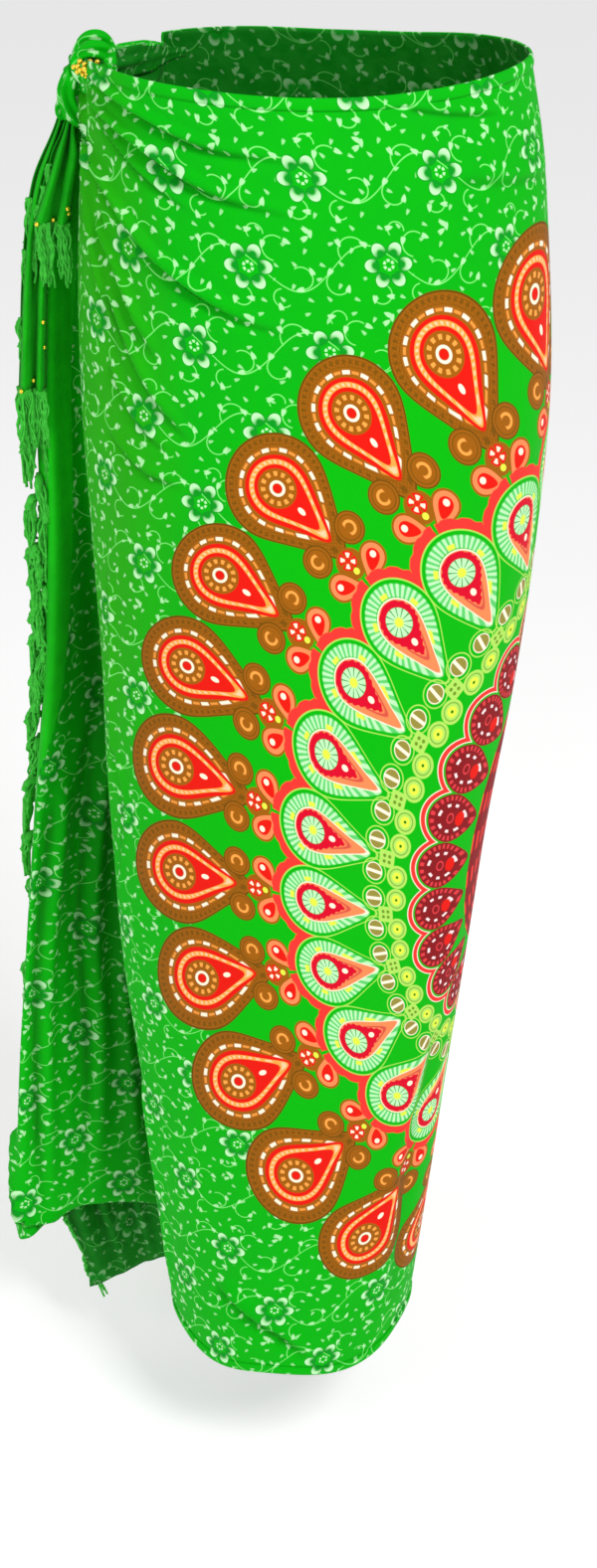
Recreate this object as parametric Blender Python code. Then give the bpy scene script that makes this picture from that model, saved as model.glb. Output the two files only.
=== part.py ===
"""A rayon sarong tied at one hip, as it hangs on a wearer. Metres, +Z up.

X points to the side away from the knot and Y to the back. The origin is the middle of the waist
opening, where the garment is held. The cloth is one rectangle, so every stretch of it is a path seen
from above, drawn again at each height: the front panel, its loose end, the back panel and its loose
end. Each stretch is a closed shell of even thickness.
"""

import functools
import math

import bpy
import numpy as np

CLOTH = 0.0016  # wall of the panels
THIN = 0.0012  # wall of the tails and of the hem strips
GAP = 0.0003  # between pieces that the real garment joins
HEM_WIDTH = 0.008

# How the wrap stands at each height: x on the knot side and on the far side, y in front and behind.
WRAP = {
    "z": (0.0, -0.05, -0.10, -0.20, -0.30, -0.40, -0.50, -0.60, -0.70, -0.80, -0.92),
    "knot_side": (-0.125, -0.128, -0.132, -0.1355, -0.132, -0.129, -0.127, -0.123, -0.115, -0.107, -0.096),
    "far_side": (0.133, 0.143, 0.149, 0.156, 0.152, 0.143, 0.130, 0.119, 0.108, 0.098, 0.084),
    "front": (-0.104, -0.111, -0.116, -0.119, -0.115, -0.109, -0.103, -0.098, -0.094, -0.092, -0.093),
    "back": (0.094, 0.103, 0.112, 0.120, 0.118, 0.109, 0.099, 0.092, 0.088, 0.086, 0.085),
}
WAIST_DIP = 0.006  # the top edge sags this much in front and behind
HEM_DIP = 0.006  # and the hem hangs this much lower in front
HEM_WAVE, HEM_WAVES = 0.0035, 5

SEAM_ANGLE = math.radians(-14)  # where the front panel is parted from the back one, behind the far side
BACK_INSET = 0.024  # the back panel passes this far inside the front panel's edge
FOLD_RADIUS = 0.0045  # of the soft fold that ends the front panel
FOLD_RETURN = 0.004
FOLD_SHARE = 0.03  # of the front panel's path, drawn with closer columns
FOLD_TURN = math.radians(86)
LOOSE_TURN = math.radians(110)  # the loose end turns this far round before its valley
LOOSE_BOW = 0.06
KNOT_CLEAR = math.radians(18)  # the front panel stops this far short of the knot at the waist
KNOT_CLEAR_BACK = math.radians(26)
BACK_STOP = math.radians(8)  # the back panel always stops this far short of the side
KNOT_HALF = 0.024  # below this depth the panels widen
KNOT_DEPTH = 0.058  # and reach full width at this one

# The front panel's loose end: from its fold into a valley, out to a ridge and back along the fringed edge.
LOOSE = {
    "z": (-0.045, -0.12, -0.20, -0.30, -0.40, -0.50, -0.60, -0.70, -0.80, -0.90),
    "valley_x": (-0.128, -0.136, -0.138, -0.135, -0.132, -0.128, -0.125, -0.119, -0.113, -0.108),
    "valley_y": (0.019, 0.021, 0.024, 0.029, 0.036, 0.043, 0.049, 0.053, 0.055, 0.057),
    "ridge_x": (-0.137, -0.149, -0.155, -0.157, -0.164, -0.178, -0.191, -0.202, -0.211, -0.216),
    "ridge_y": (0.010, 0.010, 0.006, 0.006, 0.008, 0.016, 0.022, 0.026, 0.029, 0.030),
    "edge_x": (-0.143, -0.156, -0.163, -0.166, -0.170, -0.182, -0.190, -0.197, -0.203, -0.206),
    "edge_y": (0.018, 0.021, 0.014, 0.017, 0.026, 0.046, 0.062, 0.076, 0.088, 0.098),
}
TABLES = {"wrap": WRAP, "loose": LOOSE}
FRONT_STEPS, BACK_STEPS = 90, 70  # points on the panels' paths
LOOSE_TOP = -0.058
LOOSE_BOTTOM = -0.884
LOOSE_CORNER = 0.016  # the outer corner hangs this much lower
LOOSE_WAVE = 0.004
BEHIND = 0.008  # the back panel's loose end lies this far behind the front one's
BEHIND_SHARE = 0.60  # and is this much as wide
BEHIND_LEAST = 0.008
BEHIND_START = 0.024  # it joins that lane this far along the front one's path
BEHIND_TURN = 0.0025  # radius of its own first fold
BEHIND_TOP, BEHIND_BOTTOM = -0.066, -0.962
BEHIND_SLANT = 0.05  # its inner side ends this much higher than its hanging corner

# Pull folds that fan out of the knot: each runs from its first angle and depth to its last.
PULL_FOLDS = (
    # angle in degrees and depth, three times, then height
    ((172, 0.012), (140, 0.030), (105, 0.042), 0.0030),
    ((172, 0.040), (142, 0.066), (98, 0.084), 0.0034),
    ((166, 0.100), (146, 0.150), (126, 0.185), 0.0030),
    ((172, 0.060), (166, 0.120), (150, 0.205), -0.0028),
)
PULL_WIDTH = 0.010
PULL_BEGINS, PULL_ENDS = (0.12, 0.25), (0.25, 0.50)  # angles over which a fold fades in and out
HIP_RADIUS = 0.13
HIP_FOLD_DEPTHS = (0.075, 0.115)  # short creases that the seat leaves in the back panel
HIP_FOLD = 0.0022

# The knot: its middle, its loops of cloth round the neck of the front panel, and what hangs from it.
KNOT = np.array((-0.1270, 0.010, -0.013))
KNOT_RADIUS = 0.0100
NECK_HEIGHT = 0.010  # half the height of a neck where it meets its panel
NECK_THICK = 0.0026
LOOPS = (
    # middle of the loop, half width, half height, radius of the cloth
    ((-0.1190, -0.0055, -0.0055), 0.0125, 0.0125, 0.0046),
    ((-0.1200, 0.0035, -0.0040), 0.0115, 0.0135, 0.0042),
)
BIGHT = (
    (-0.129, 0.008, -0.012),
    (-0.137, 0.000, -0.014),
    (-0.1385, -0.004, -0.026),
    (-0.133, 0.001, -0.034),
    (-0.130, 0.008, -0.026),
)
BIGHT_RADIUS = 0.0062
STEM = ((-0.128, 0.010, -0.018), (-0.134, 0.006, -0.028), (-0.137, 0.003, -0.035), (-0.137, 0.003, -0.040))
STEM_RADIUS = 0.0062
TAILS = {
    # middle line, half width and half depth at its start and at its end
    "tail_front": (
        ((-0.1345, 0.0, -0.0404), (-0.139, -0.005, -0.062), (-0.144, -0.009, -0.082), (-0.1475, -0.011, -0.098)),
        (0.0024, 0.0090),
        (0.0016, 0.0030),
    ),
    "tail_back": (
        ((-0.1395, 0.0055, -0.0404), (-0.153, -0.0005, -0.08), (-0.16, -0.0035, -0.13), (-0.165, -0.006, -0.203)),
        (0.0024, 0.0060),
        (0.0016, 0.0040),
    ),
}
TAIL_PLEATS = 2.5

# Fringe: spacing of the tufts, their length, how far they stand out, half thickness at root and tip,
# and the angles off straight out, in radians, at which neighbours leave the edge.
FRINGES = {
    "end_front": {
        "spacing": 0.0180, "length": 0.060, "out": 0.0100, "root": 0.0019, "tip": 0.0018, "turns": (0.8, 1.3, 1.0, 1.5),
    },
    "end_back": {
        "spacing": 0.0300, "length": 0.055, "out": 0.0125, "root": 0.0015, "tip": 0.0017, "turns": (-1.9, -2.0),
    },
    "tail": {
        "spacing": 0.0047, "length": 0.034, "out": 0.0043, "root": 0.0010, "tip": 0.0013, "turns": (-0.6, 0.6),
    },
}  # fmt: skip
TUFT_COURSE = ((0.0, 0.0), (0.8, 0.015), (1.15, 0.45), (1.0, 1.0))  # shares of its reach out and of its length
TUFT_SPREAD, TUFT_CYCLE = 0.18, 2.4  # how much and how fast the lengths of neighbours vary
BACKING = 0.0012
TUFT_SIDES = 3
FRINGE_FROM = 3  # rows of the sheet above the first tuft, which the knot takes up

COLOURS = {
    # colour, roughness
    "print_green": ((0.010, 0.520, 0.016), 0.75),
    "plain_green": ((0.020, 0.420, 0.020), 0.80),
    "fringe_green": ((0.030, 0.360, 0.030), 0.85),
}


material_for = {}


def material(name):
    colour, roughness = COLOURS[name]
    made = bpy.data.materials.new(name)
    made.use_nodes = True
    shader = made.node_tree.nodes["Principled BSDF"]
    shader.inputs["Base Color"].default_value = (*colour, 1.0)
    shader.inputs["Roughness"].default_value = roughness
    shader.inputs["Metallic"].default_value = 0.0
    made.diffuse_color = (*colour, 1.0)
    return made


@functools.cache
def at_height(part, column, z):
    """The column's value at height z, on a curve with no corners through the table's points."""
    table = TABLES[part]
    heights, values = np.array(table["z"])[::-1], np.array(table[column])[::-1]
    slopes = np.gradient(values, heights)
    z = float(np.clip(z, heights[0], heights[-1]))
    i = int(np.clip(np.searchsorted(heights, z) - 1, 0, len(heights) - 2))
    step = heights[i + 1] - heights[i]
    t = (z - heights[i]) / step
    return (
        (1 + 2 * t) * (1 - t) ** 2 * values[i]
        + t * (1 - t) ** 2 * step * slopes[i]
        + t * t * (3 - 2 * t) * values[i + 1]
        - t * t * (1 - t) * step * slopes[i + 1]
    )


def ease(t):
    t = np.clip(t, 0.0, 1.0)
    return t * t * (3 - 2 * t)


def lengths_along(path):
    return np.concatenate([[0], np.cumsum(np.linalg.norm(np.diff(path, axis=0), axis=1))])


def at_shares(path, shares):
    """Points at these shares of the path's length."""
    lengths = lengths_along(path)
    return np.stack([np.interp(shares * lengths[-1], lengths, column) for column in path.T], axis=1)


def curve_through(points, per_span=12):
    """A smooth path through the points, as a chain of cubic arcs."""
    points = np.array(points, float)
    padded = np.vstack([2 * points[0] - points[1], points, 2 * points[-1] - points[-2]])
    path = [points[0]]
    for a, b, c, d in zip(padded, padded[1:], padded[2:], padded[3:]):
        for step in range(1, per_span + 1):
            t = step / per_span
            path.append(
                0.5 * (2 * b + (c - a) * t + (2 * a - 5 * b + 4 * c - d) * t**2 + (3 * b - a - 3 * c + d) * t**3)
            )
    return np.array(path)


def offset(path, distance):
    """The path seen from above, moved sideways to its left."""
    along = np.gradient(path, axis=0)
    along /= np.linalg.norm(along, axis=1)[:, None]
    return path + distance * np.stack([-along[:, 1], along[:, 0]], axis=1)


def turned(start, heading, radius, angle, steps=4):
    """A round turn from start: to the left for a positive angle. Returns its points and the new heading."""
    points = [start]
    for _ in range(steps):
        heading += angle / steps / 2
        reach = 2 * radius * math.sin(abs(angle) / steps / 2)
        points.append(points[-1] + reach * np.array((math.cos(heading), math.sin(heading))))
        heading += angle / steps / 2
    return points, heading


def fullness(z):
    """0 beside the knot, 1 where the panels have their full width."""
    return ease((-z - KNOT_HALF) / (KNOT_DEPTH - KNOT_HALF))


def heading_of(path):
    step = path[-1] - path[-2]
    return math.atan2(step[1], step[0])


def hip_ring(z, angles):
    """Places on the wrap from above: an oval whose front half is wider on the knot side than its back half."""
    left, right = at_height("wrap", "knot_side", z), at_height("wrap", "far_side", z)
    inset = np.where(angles < 0, BACK_INSET, 0.0)
    depth = np.where(angles < 0, at_height("wrap", "back", z), at_height("wrap", "front", z))
    middle, half = (left + inset + right) / 2, (right - left - inset) / 2
    return np.stack([middle + half * np.cos(angles), abs(np.sin(angles)) * depth], axis=1)


def outward_at(angles):
    return np.stack([np.cos(angles), -np.sin(angles)], axis=1)


def fold_line(places):
    """A pull fold's depth below the waist as a quadratic of the angle, with its first and last angle."""
    angles = np.radians([angle for angle, _ in places])
    return np.poly1d(np.polyfit(angles, [depth for _, depth in places], 2)), angles[0], angles[-1]


FOLD_LINES = [(*fold_line(places), height) for *places, height in PULL_FOLDS]


def pull(z, angles):
    """How far the pull folds lift the front panel at each of these angles."""
    total = np.zeros(len(angles))
    for line, first, last, height in FOLD_LINES:
        slope = line.deriv()(angles) / HIP_RADIUS
        away = (-z - line(angles)) / np.sqrt(1 + slope**2)
        fade = ease((first + PULL_BEGINS[0] - angles) / PULL_BEGINS[1])
        fade *= ease((angles - last + PULL_ENDS[0]) / PULL_ENDS[1])
        total += height * fade * np.exp(-((away / PULL_WIDTH) ** 2))
    return total


@functools.cache
def front_path(z):
    """The front panel from above: round from behind the far side to the soft fold on the knot side."""
    full = fullness(z)
    angles = np.linspace(SEAM_ANGLE, math.pi - KNOT_CLEAR * (1 - full), FRONT_STEPS)
    path = hip_ring(z, angles) + outward_at(angles) * pull(z, angles)[:, None]
    if not full:
        return path
    fold, heading = turned(path[-1], heading_of(path), FOLD_RADIUS, -FOLD_TURN * full, steps=6)
    back = FOLD_RETURN * full * np.array((math.cos(heading), math.sin(heading)))
    return np.array([*path, *fold[1:], fold[-1] + back])


@functools.cache
def loose_path(z):
    """The front panel's loose end from above: it turns round inside the fold, then valley, ridge, edge."""
    path = front_path(z)
    heading = heading_of(path)
    start = path[-1] + 2 * GAP * np.array((math.cos(heading), math.sin(heading)))
    turn, _ = turned(start, heading, FOLD_RADIUS, LOOSE_TURN, steps=3)
    valley, ridge, edge = (
        np.array((at_height("loose", name + "_x", z), at_height("loose", name + "_y", z)))
        for name in ("valley", "ridge", "edge")
    )
    across = ridge - valley
    bow = LOOSE_BOW * np.array((across[1], -across[0]))
    return curve_through([*turn, valley, valley + across / 2 + bow, ridge, edge])


@functools.cache
def back_path(z):
    """The back panel from above: from the seam round behind to the knot side, inside the front panel's edge."""
    clear = KNOT_CLEAR_BACK * (1 - fullness(z)) + BACK_STOP
    angles = np.linspace(SEAM_ANGLE - GAP / at_height("wrap", "back", z), clear - math.pi, BACK_STEPS)
    lift = HIP_FOLD * sum(math.exp(-(((-z - depth) / PULL_WIDTH) ** 2)) for depth in HIP_FOLD_DEPTHS)
    behind = np.clip(-np.sin(angles), 0.0, 1.0) ** 3
    return hip_ring(z, angles) + outward_at(angles) * (lift * behind)[:, None]


@functools.cache
def behind_path(z):
    """The back panel's loose end: it turns outward and runs behind the front's loose end."""
    back = back_path(z)
    heading = heading_of(back)
    start = back[-1] + GAP * np.array((math.cos(heading), math.sin(heading)))
    turn, _ = turned(start, heading, BEHIND_TURN, -math.radians(120), steps=3)
    outer = loose_path(z)
    lengths = lengths_along(outer)
    end = max(BEHIND_SHARE * lengths[-1], BEHIND_START + BEHIND_LEAST)
    lane = outer[(lengths > BEHIND_START) & (lengths < end)]
    return curve_through([*turn, *at_shares(offset(lane, -BEHIND), np.linspace(0, 1, 5))])


def waist(angle):
    return -WAIST_DIP * math.sin(angle) ** 2


def hem(angle):
    wave = HEM_WAVE * math.sin(HEM_WAVES * angle)
    return WRAP["z"][-1] - HEM_DIP * max(0.0, math.sin(angle)) + wave


def sheet(path_at, top, bottom, shares, rows, dense=0.2):
    """A grid of points: each column keeps its share of the path and falls from top to bottom.

    A larger dense draws more rows near the waist, where the pull folds are.
    """
    down = np.linspace(0, 1, rows)
    down = dense * down**2 + (1 - dense) * down
    grid = np.zeros((rows, len(shares), 3))
    for c, share in enumerate(shares):
        grid[:, c, 2] = top(share) + (bottom(share) - top(share)) * down
        for r in range(rows):
            grid[r, c, :2] = at_shares(path_at(round(grid[r, c, 2], 4)), shares)[c]
    return grid


def normals_of(grid):
    along = np.gradient(grid, axis=1)
    down = np.gradient(grid, axis=0)
    normal = np.cross(along, down)
    return normal / np.linalg.norm(normal, axis=2)[:, :, None]


def add_mesh(name, points, faces, colour, collection):
    mesh = bpy.data.meshes.new(name)
    mesh.from_pydata([tuple(p) for p in points], [], faces)
    mesh.validate()
    obj = bpy.data.objects.new(name, mesh)
    obj.data.materials.append(material_for[colour])
    collection.objects.link(obj)
    return obj


def shell(name, grid, thickness, colour, collection):
    """A closed wall of even thickness on both sides of the grid."""
    rows, columns, _ = grid.shape
    lift = normals_of(grid) * thickness / 2
    points = np.concatenate([(grid + lift).reshape(-1, 3), (grid - lift).reshape(-1, 3)])
    back = rows * columns
    faces = []

    def at(r, c):
        return r * columns + c

    for r in range(rows - 1):
        for c in range(columns - 1):
            quad = (at(r, c), at(r, c + 1), at(r + 1, c + 1), at(r + 1, c))
            faces.append(quad[::-1])
            faces.append(tuple(i + back for i in quad))
    border = (
        [at(0, c) for c in range(columns)]
        + [at(r, columns - 1) for r in range(1, rows)]
        + [at(rows - 1, c) for c in range(columns - 2, -1, -1)]
        + [at(r, 0) for r in range(rows - 2, 0, -1)]
    )
    for a, b in zip(border, border[1:] + border[:1]):
        faces.append((a, b, b + back, a + back))
    return oriented(add_mesh(name, points, faces, colour, collection))


def oriented(obj):
    """Turns a closed mesh's faces outward."""
    mesh = obj.data
    mesh.calc_loop_triangles()
    corners = np.array([[mesh.vertices[i].co for i in t.vertices] for t in mesh.loop_triangles])
    if np.linalg.det(corners).sum() < 0:
        mesh.flip_normals()
    return obj


def tube(path, radii, sides, up=(0.0, 0.0, 1.0)):
    """Points and faces of a closed tube along a path, with a half height and a half width at each point."""
    path = np.array(path, float)
    along = np.gradient(path, axis=0)
    along /= np.linalg.norm(along, axis=1)[:, None]
    side = np.array(up, float)
    points = []
    for centre, forward, (high, wide) in zip(path, along, radii):
        side = side - forward * (side @ forward)
        side /= np.linalg.norm(side)
        other = np.cross(forward, side)
        for k in range(sides):
            a = 2 * math.pi * k / sides
            points.append(centre + high * side * math.cos(a) + wide * other * math.sin(a))
    faces = [tuple(range(sides))[::-1], tuple(range(len(points) - sides, len(points)))]
    for n in range(len(path) - 1):
        for k in range(sides):
            a, b = n * sides + k, n * sides + (k + 1) % sides
            faces.append((a, b, b + sides, a + sides))
    return points, faces


def ring(middle, half_wide, half_high, radius, around=18, sides=8):
    """Points and faces of a closed loop of cloth that stands across the panel's edge."""
    points = []
    for n in range(around):
        a = 2 * math.pi * n / around
        spoke = np.array((math.cos(a), 0.0, math.sin(a)))
        centre = np.array(middle) + spoke * (half_wide, 0.0, half_high)
        for k in range(sides):
            b = 2 * math.pi * k / sides
            points.append(centre + radius * (spoke * math.cos(b) + np.array((0.0, math.sin(b), 0.0))))
    faces = []
    for n in range(around):
        for k in range(sides):
            a, b = n * sides + k, n * sides + (k + 1) % sides
            c, d = (n + 1) % around * sides + k, (n + 1) % around * sides + (k + 1) % sides
            faces.append((a, b, d, c))
    return points, faces


def united(name, pieces, colour, collection):
    """One solid from several closed meshes."""
    whole = oriented(add_mesh(name, *pieces[0], colour, collection))
    for points, faces in pieces[1:]:
        other = oriented(add_mesh("other", points, faces, colour, collection))
        join = whole.modifiers.new("join", "BOOLEAN")
        join.operation, join.solver, join.object, join.use_self = "UNION", "EXACT", other, True
        graph = bpy.context.evaluated_depsgraph_get()
        mesh = bpy.data.meshes.new_from_object(whole.evaluated_get(graph))
        whole.modifiers.clear()
        whole.data = mesh
        bpy.data.objects.remove(other, do_unlink=True)
    return whole


def knot(front_edge, back_edge, collection):
    """The two upper corners knotted: a neck from each panel's edge, two loops, a bight and the stem below."""
    pieces = []
    for edge, count in ((front_edge, 5), (back_edge, 7)):
        run = KNOT - edge
        clear = 2 * GAP / np.linalg.norm(run)
        path = [edge + run * (clear + t) for t in np.linspace(0, 1, count)]
        shares = [ease(t) for t in np.linspace(0, 1, count)]
        radii = [
            (NECK_HEIGHT + (KNOT_RADIUS - NECK_HEIGHT) * t, NECK_THICK + (KNOT_RADIUS - NECK_THICK) * t)
            for t in shares
        ]
        pieces.append(tube(path, radii, 10))
    for middle, wide, high, radius in LOOPS:
        pieces.append(ring(middle, wide, high, radius))
    bight = curve_through(BIGHT, per_span=3)
    pieces.append(tube(bight, [(BIGHT_RADIUS, BIGHT_RADIUS)] * len(bight), 9))
    stem = curve_through(STEM, per_span=3)
    pieces.append(tube(stem, [(STEM_RADIUS, STEM_RADIUS)] * len(stem), 9, up=(0.0, 1.0, 0.0)))
    return united("knot", pieces, "print_green", collection)


def tail_grid(line, widths, depths, columns=9, per_span=2):
    """A corner of the cloth hanging from the knot, pleated across and spreading downward."""
    line = curve_through(line, per_span)
    grid = np.zeros((len(line), columns, 3))
    for r, middle in enumerate(line):
        t = r / (len(line) - 1)
        wide = widths[0] + (widths[1] - widths[0]) * t
        deep = depths[0] + (depths[1] - depths[0]) * t
        for c in range(columns):
            across = 2 * c / (columns - 1) - 1
            grid[r, c] = middle + np.array(
                (across * wide, deep * math.sin(math.pi * TAIL_PLEATS * across), 0.0)
            )
    return grid


def tufts(places, outward, downward, kind):
    """Points and faces of tufts that leave these places and hang against the cloth below them."""
    points, faces = [], []
    for n, (place, (x, y, _), down) in enumerate(zip(places, outward, downward)):
        turn = kind["turns"][n % len(kind["turns"])]
        away = np.array((x * math.cos(turn) - y * math.sin(turn), x * math.sin(turn) + y * math.cos(turn), 0.0))
        long = kind["length"] * (1 + TUFT_SPREAD * math.sin(TUFT_CYCLE * n))
        path = [place + away * kind["out"] * reach + down * long * fall for reach, fall in TUFT_COURSE]
        radii = [(r, r) for r in np.linspace(kind["root"], kind["tip"], len(path))]
        tuft, sides = tube(path, radii, TUFT_SIDES, up=(0.1, 0.2, 1.0))
        faces += [tuple(i + len(points) for i in face) for face in sides]
        points += tuft
    return points, faces


def edge_fringe(name, edge, outward, kind, collection):
    """A narrow backing beside the edge, with tufts fused to it at their roots."""
    downward = np.gradient(edge, axis=0)
    downward /= np.linalg.norm(downward, axis=1)[:, None]
    rail = np.concatenate([edge + outward * (GAP + CLOTH / 2 + BACKING), outward, downward], axis=1)
    length = lengths_along(edge)[-1]
    places = at_shares(rail, np.linspace(0, 1, int(length / kind["spacing"]) + 2))[1:-1]
    backing = tube(rail[:, :3], [(BACKING, BACKING)] * len(rail), 4, up=(0.3, 1.0, 0.1))
    hanging = tufts(places[:, :3], places[:, 3:6], places[:, 6:], kind)
    return united(name, [backing, hanging], "fringe_green", collection)


def tail_fringe(name, edge, depth, kind, collection):
    """A flat head just below a tail, as deep as its pleats, with tufts fused to it at their roots."""
    middle, half = edge.mean(axis=0), (edge[:, 0].max() - edge[:, 0].min()) / 2
    middle = middle - (0.0, 0.0, 2 * GAP + BACKING)
    ends = [middle + (across * half, 0.0, 0.0) for across in (-1.0, -0.4, 0.4, 1.0)]
    head = tube(ends, [(BACKING, depth)] * len(ends), 8)
    count = int(2 * half / kind["spacing"])
    places = np.array([middle + (half * (2 * (n + 0.5) / count - 1), 0.0, 0.0) for n in range(count)])
    outward = np.array([(0.0, -1.0 if n % 2 else 1.0, 0.0) for n in range(count)])
    downward = np.array([(0.0, 0.0, -1.0)] * count)
    return united(name, [head, tufts(places, outward, downward, kind)], "fringe_green", collection)


def hem_strip(name, grid, edge_row, side, collection):
    """A hem: the panel's outermost points moved out, as a narrow band along its top or bottom edge."""
    out = normals_of(grid)[edge_row] * side * (CLOTH / 2 + GAP + THIN / 2)
    inward = grid[1 if edge_row == 0 else -2] - grid[edge_row]
    inward /= np.linalg.norm(inward, axis=1)[:, None]
    edge = grid[edge_row] + out
    band = np.stack([edge + inward * GAP, edge + inward * HEM_WIDTH])
    return shell(name, band, THIN, "print_green", collection)


def outward_of(grid):
    """Level directions that point out of the sheet at its last column."""
    out = grid[:, -1] - grid[:, -2]
    out[:, 2] = 0.0
    return out / np.linalg.norm(out, axis=1)[:, None]


def build():
    for obj in list(bpy.data.objects):
        bpy.data.objects.remove(obj, do_unlink=True)
    collection = bpy.data.collections.new("sarong")
    bpy.context.scene.collection.children.link(collection)
    for name in COLOURS:
        material_for[name] = material(name)

    def front_angle(share):
        return SEAM_ANGLE + (math.pi - SEAM_ANGLE) * share

    def back_angle(share):
        return SEAM_ANGLE - (math.pi + SEAM_ANGLE) * share

    front = sheet(
        front_path,
        lambda s: waist(front_angle(s)),
        lambda s: hem(front_angle(s)),
        shares=np.concatenate([np.linspace(0, 1 - FOLD_SHARE, 36), 1 - FOLD_SHARE * np.linspace(6 / 7, 0, 7)]),
        rows=28,
        dense=0.7,
    )
    back = sheet(
        back_path,
        lambda s: waist(back_angle(s)),
        lambda s: hem(back_angle(s)),
        shares=np.linspace(0, 1, 30),
        rows=22,
        dense=0.8,
    )
    # Shares nearer together at the start of a loose end, where its cloth turns most.
    loose = sheet(
        loose_path,
        lambda s: LOOSE_TOP,
        lambda s: LOOSE_BOTTOM - LOOSE_CORNER * ease((s - 0.5) / 0.25) - LOOSE_WAVE * math.sin(9 * s),
        shares=np.linspace(0, 1, 22) ** 1.6,
        rows=22,
    )
    behind = sheet(
        behind_path,
        lambda s: BEHIND_TOP,
        lambda s: BEHIND_BOTTOM + BEHIND_SLANT * (1 - s) ** 1.5,
        shares=np.linspace(0, 1, 14) ** 2,
        rows=18,
    )
    for name, grid in (("wrap_front", front), ("wrap_back", back), ("end_front", loose), ("end_back", behind)):
        shell(name, grid, CLOTH, "print_green", collection)

    hem_strip("hem_top_front", front[:, 1:-7], 0, 1, collection)
    hem_strip("hem_bottom_front", front[:, 1:-7], -1, 1, collection)
    hem_strip("hem_top_back", back[:, 1:-1], 0, -1, collection)
    hem_strip("hem_bottom_back", back[:, 1:-1], -1, -1, collection)

    beside_knot = int(np.argmin(abs(front[:, -1, 2] - KNOT[2])))
    behind_knot = int(np.argmin(abs(back[:, -1, 2] - KNOT[2])))
    knot(front[beside_knot, -1], back[behind_knot, -1], collection)
    for name, (line, widths, depths) in TAILS.items():
        grid = tail_grid(line, widths, depths)
        shell(name, grid, THIN, "plain_green", collection)
        tail_fringe(f"fringe_{name}", grid[-1], depths[1], FRINGES["tail"], collection)

    for name, grid in (("end_front", loose), ("end_back", behind)):
        edge, outward = grid[FRINGE_FROM:-1, -1], outward_of(grid)[FRINGE_FROM:-1]
        edge_fringe(f"fringe_{name}", edge, outward, FRINGES[name], collection)


build()
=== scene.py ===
"""The looks of the sarong: fine cloth over the same paths as part.py, its print, fringe, knot and beads.

Metres, +Z up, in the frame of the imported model. The print is drawn in the cloth's own measure: each
sheet carries a map of how far round and how far down the cloth every point lies.
"""

import functools
import math
import random

import bpy
import numpy as np
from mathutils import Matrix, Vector


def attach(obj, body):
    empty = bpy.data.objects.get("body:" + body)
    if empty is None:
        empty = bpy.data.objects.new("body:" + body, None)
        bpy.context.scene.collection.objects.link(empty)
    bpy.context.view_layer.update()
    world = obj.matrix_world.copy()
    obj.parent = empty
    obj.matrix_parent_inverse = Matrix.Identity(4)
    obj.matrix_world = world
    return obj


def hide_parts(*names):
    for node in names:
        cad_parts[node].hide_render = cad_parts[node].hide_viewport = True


# Sizes of the worn cloth, the same as in part.py.

# How the wrap stands at each height: x on the knot side and on the far side, y in front and behind.
WRAP = {
    "z": (0.0, -0.05, -0.1, -0.2, -0.3, -0.4, -0.5, -0.6, -0.7, -0.8, -0.92),
    "knot_side": (-0.125, -0.128, -0.132, -0.1355, -0.132, -0.129, -0.127, -0.123, -0.115, -0.107, -0.096),
    "far_side": (0.133, 0.143, 0.149, 0.156, 0.152, 0.143, 0.13, 0.119, 0.108, 0.098, 0.084),
    "front": (-0.104, -0.111, -0.116, -0.119, -0.115, -0.109, -0.103, -0.098, -0.094, -0.092, -0.093),
    "back": (0.094, 0.103, 0.112, 0.12, 0.118, 0.109, 0.099, 0.092, 0.088, 0.086, 0.085),
}
# The front panel's loose end: from its fold into a valley, out to a ridge and back along the fringed edge.
LOOSE = {
    "z": (-0.045, -0.12, -0.2, -0.3, -0.4, -0.5, -0.6, -0.7, -0.8, -0.9),
    "valley_x": (-0.128, -0.136, -0.138, -0.135, -0.132, -0.128, -0.125, -0.119, -0.113, -0.108),
    "valley_y": (0.019, 0.021, 0.024, 0.029, 0.036, 0.043, 0.049, 0.053, 0.055, 0.057),
    "ridge_x": (-0.137, -0.149, -0.155, -0.157, -0.164, -0.178, -0.191, -0.202, -0.211, -0.216),
    "ridge_y": (0.01, 0.01, 0.006, 0.006, 0.008, 0.016, 0.022, 0.026, 0.029, 0.03),
    "edge_x": (-0.143, -0.156, -0.163, -0.166, -0.17, -0.182, -0.19, -0.197, -0.203, -0.206),
    "edge_y": (0.018, 0.021, 0.014, 0.017, 0.026, 0.046, 0.062, 0.076, 0.088, 0.098),
}
TABLES = {"wrap": WRAP, "loose": LOOSE}
GAP = 0.0003  # between pieces that the real garment joins
WAIST_DIP, HEM_DIP, HEM_WAVE, HEM_WAVES = 0.006, 0.006, 0.0035, 5
SEAM_ANGLE = math.radians(-14)  # where the front panel is parted from the back one
BACK_INSET = 0.024  # the back panel passes this far inside the front panel's edge
FOLD_RADIUS, FOLD_RETURN, FOLD_TURN = 0.0045, 0.004, math.radians(86)  # soft fold that ends the front panel
LOOSE_TURN, LOOSE_BOW = math.radians(110), 0.06
KNOT_CLEAR, KNOT_CLEAR_BACK = math.radians(18), math.radians(26)  # where the panels stop short of the knot
BACK_STOP = math.radians(8)
KNOT_HALF, KNOT_DEPTH = 0.024, 0.058  # depths between which the panels widen to their full width
LOOSE_TOP, LOOSE_BOTTOM, LOOSE_CORNER, LOOSE_WAVE = -0.058, -0.884, 0.016, 0.004
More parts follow.
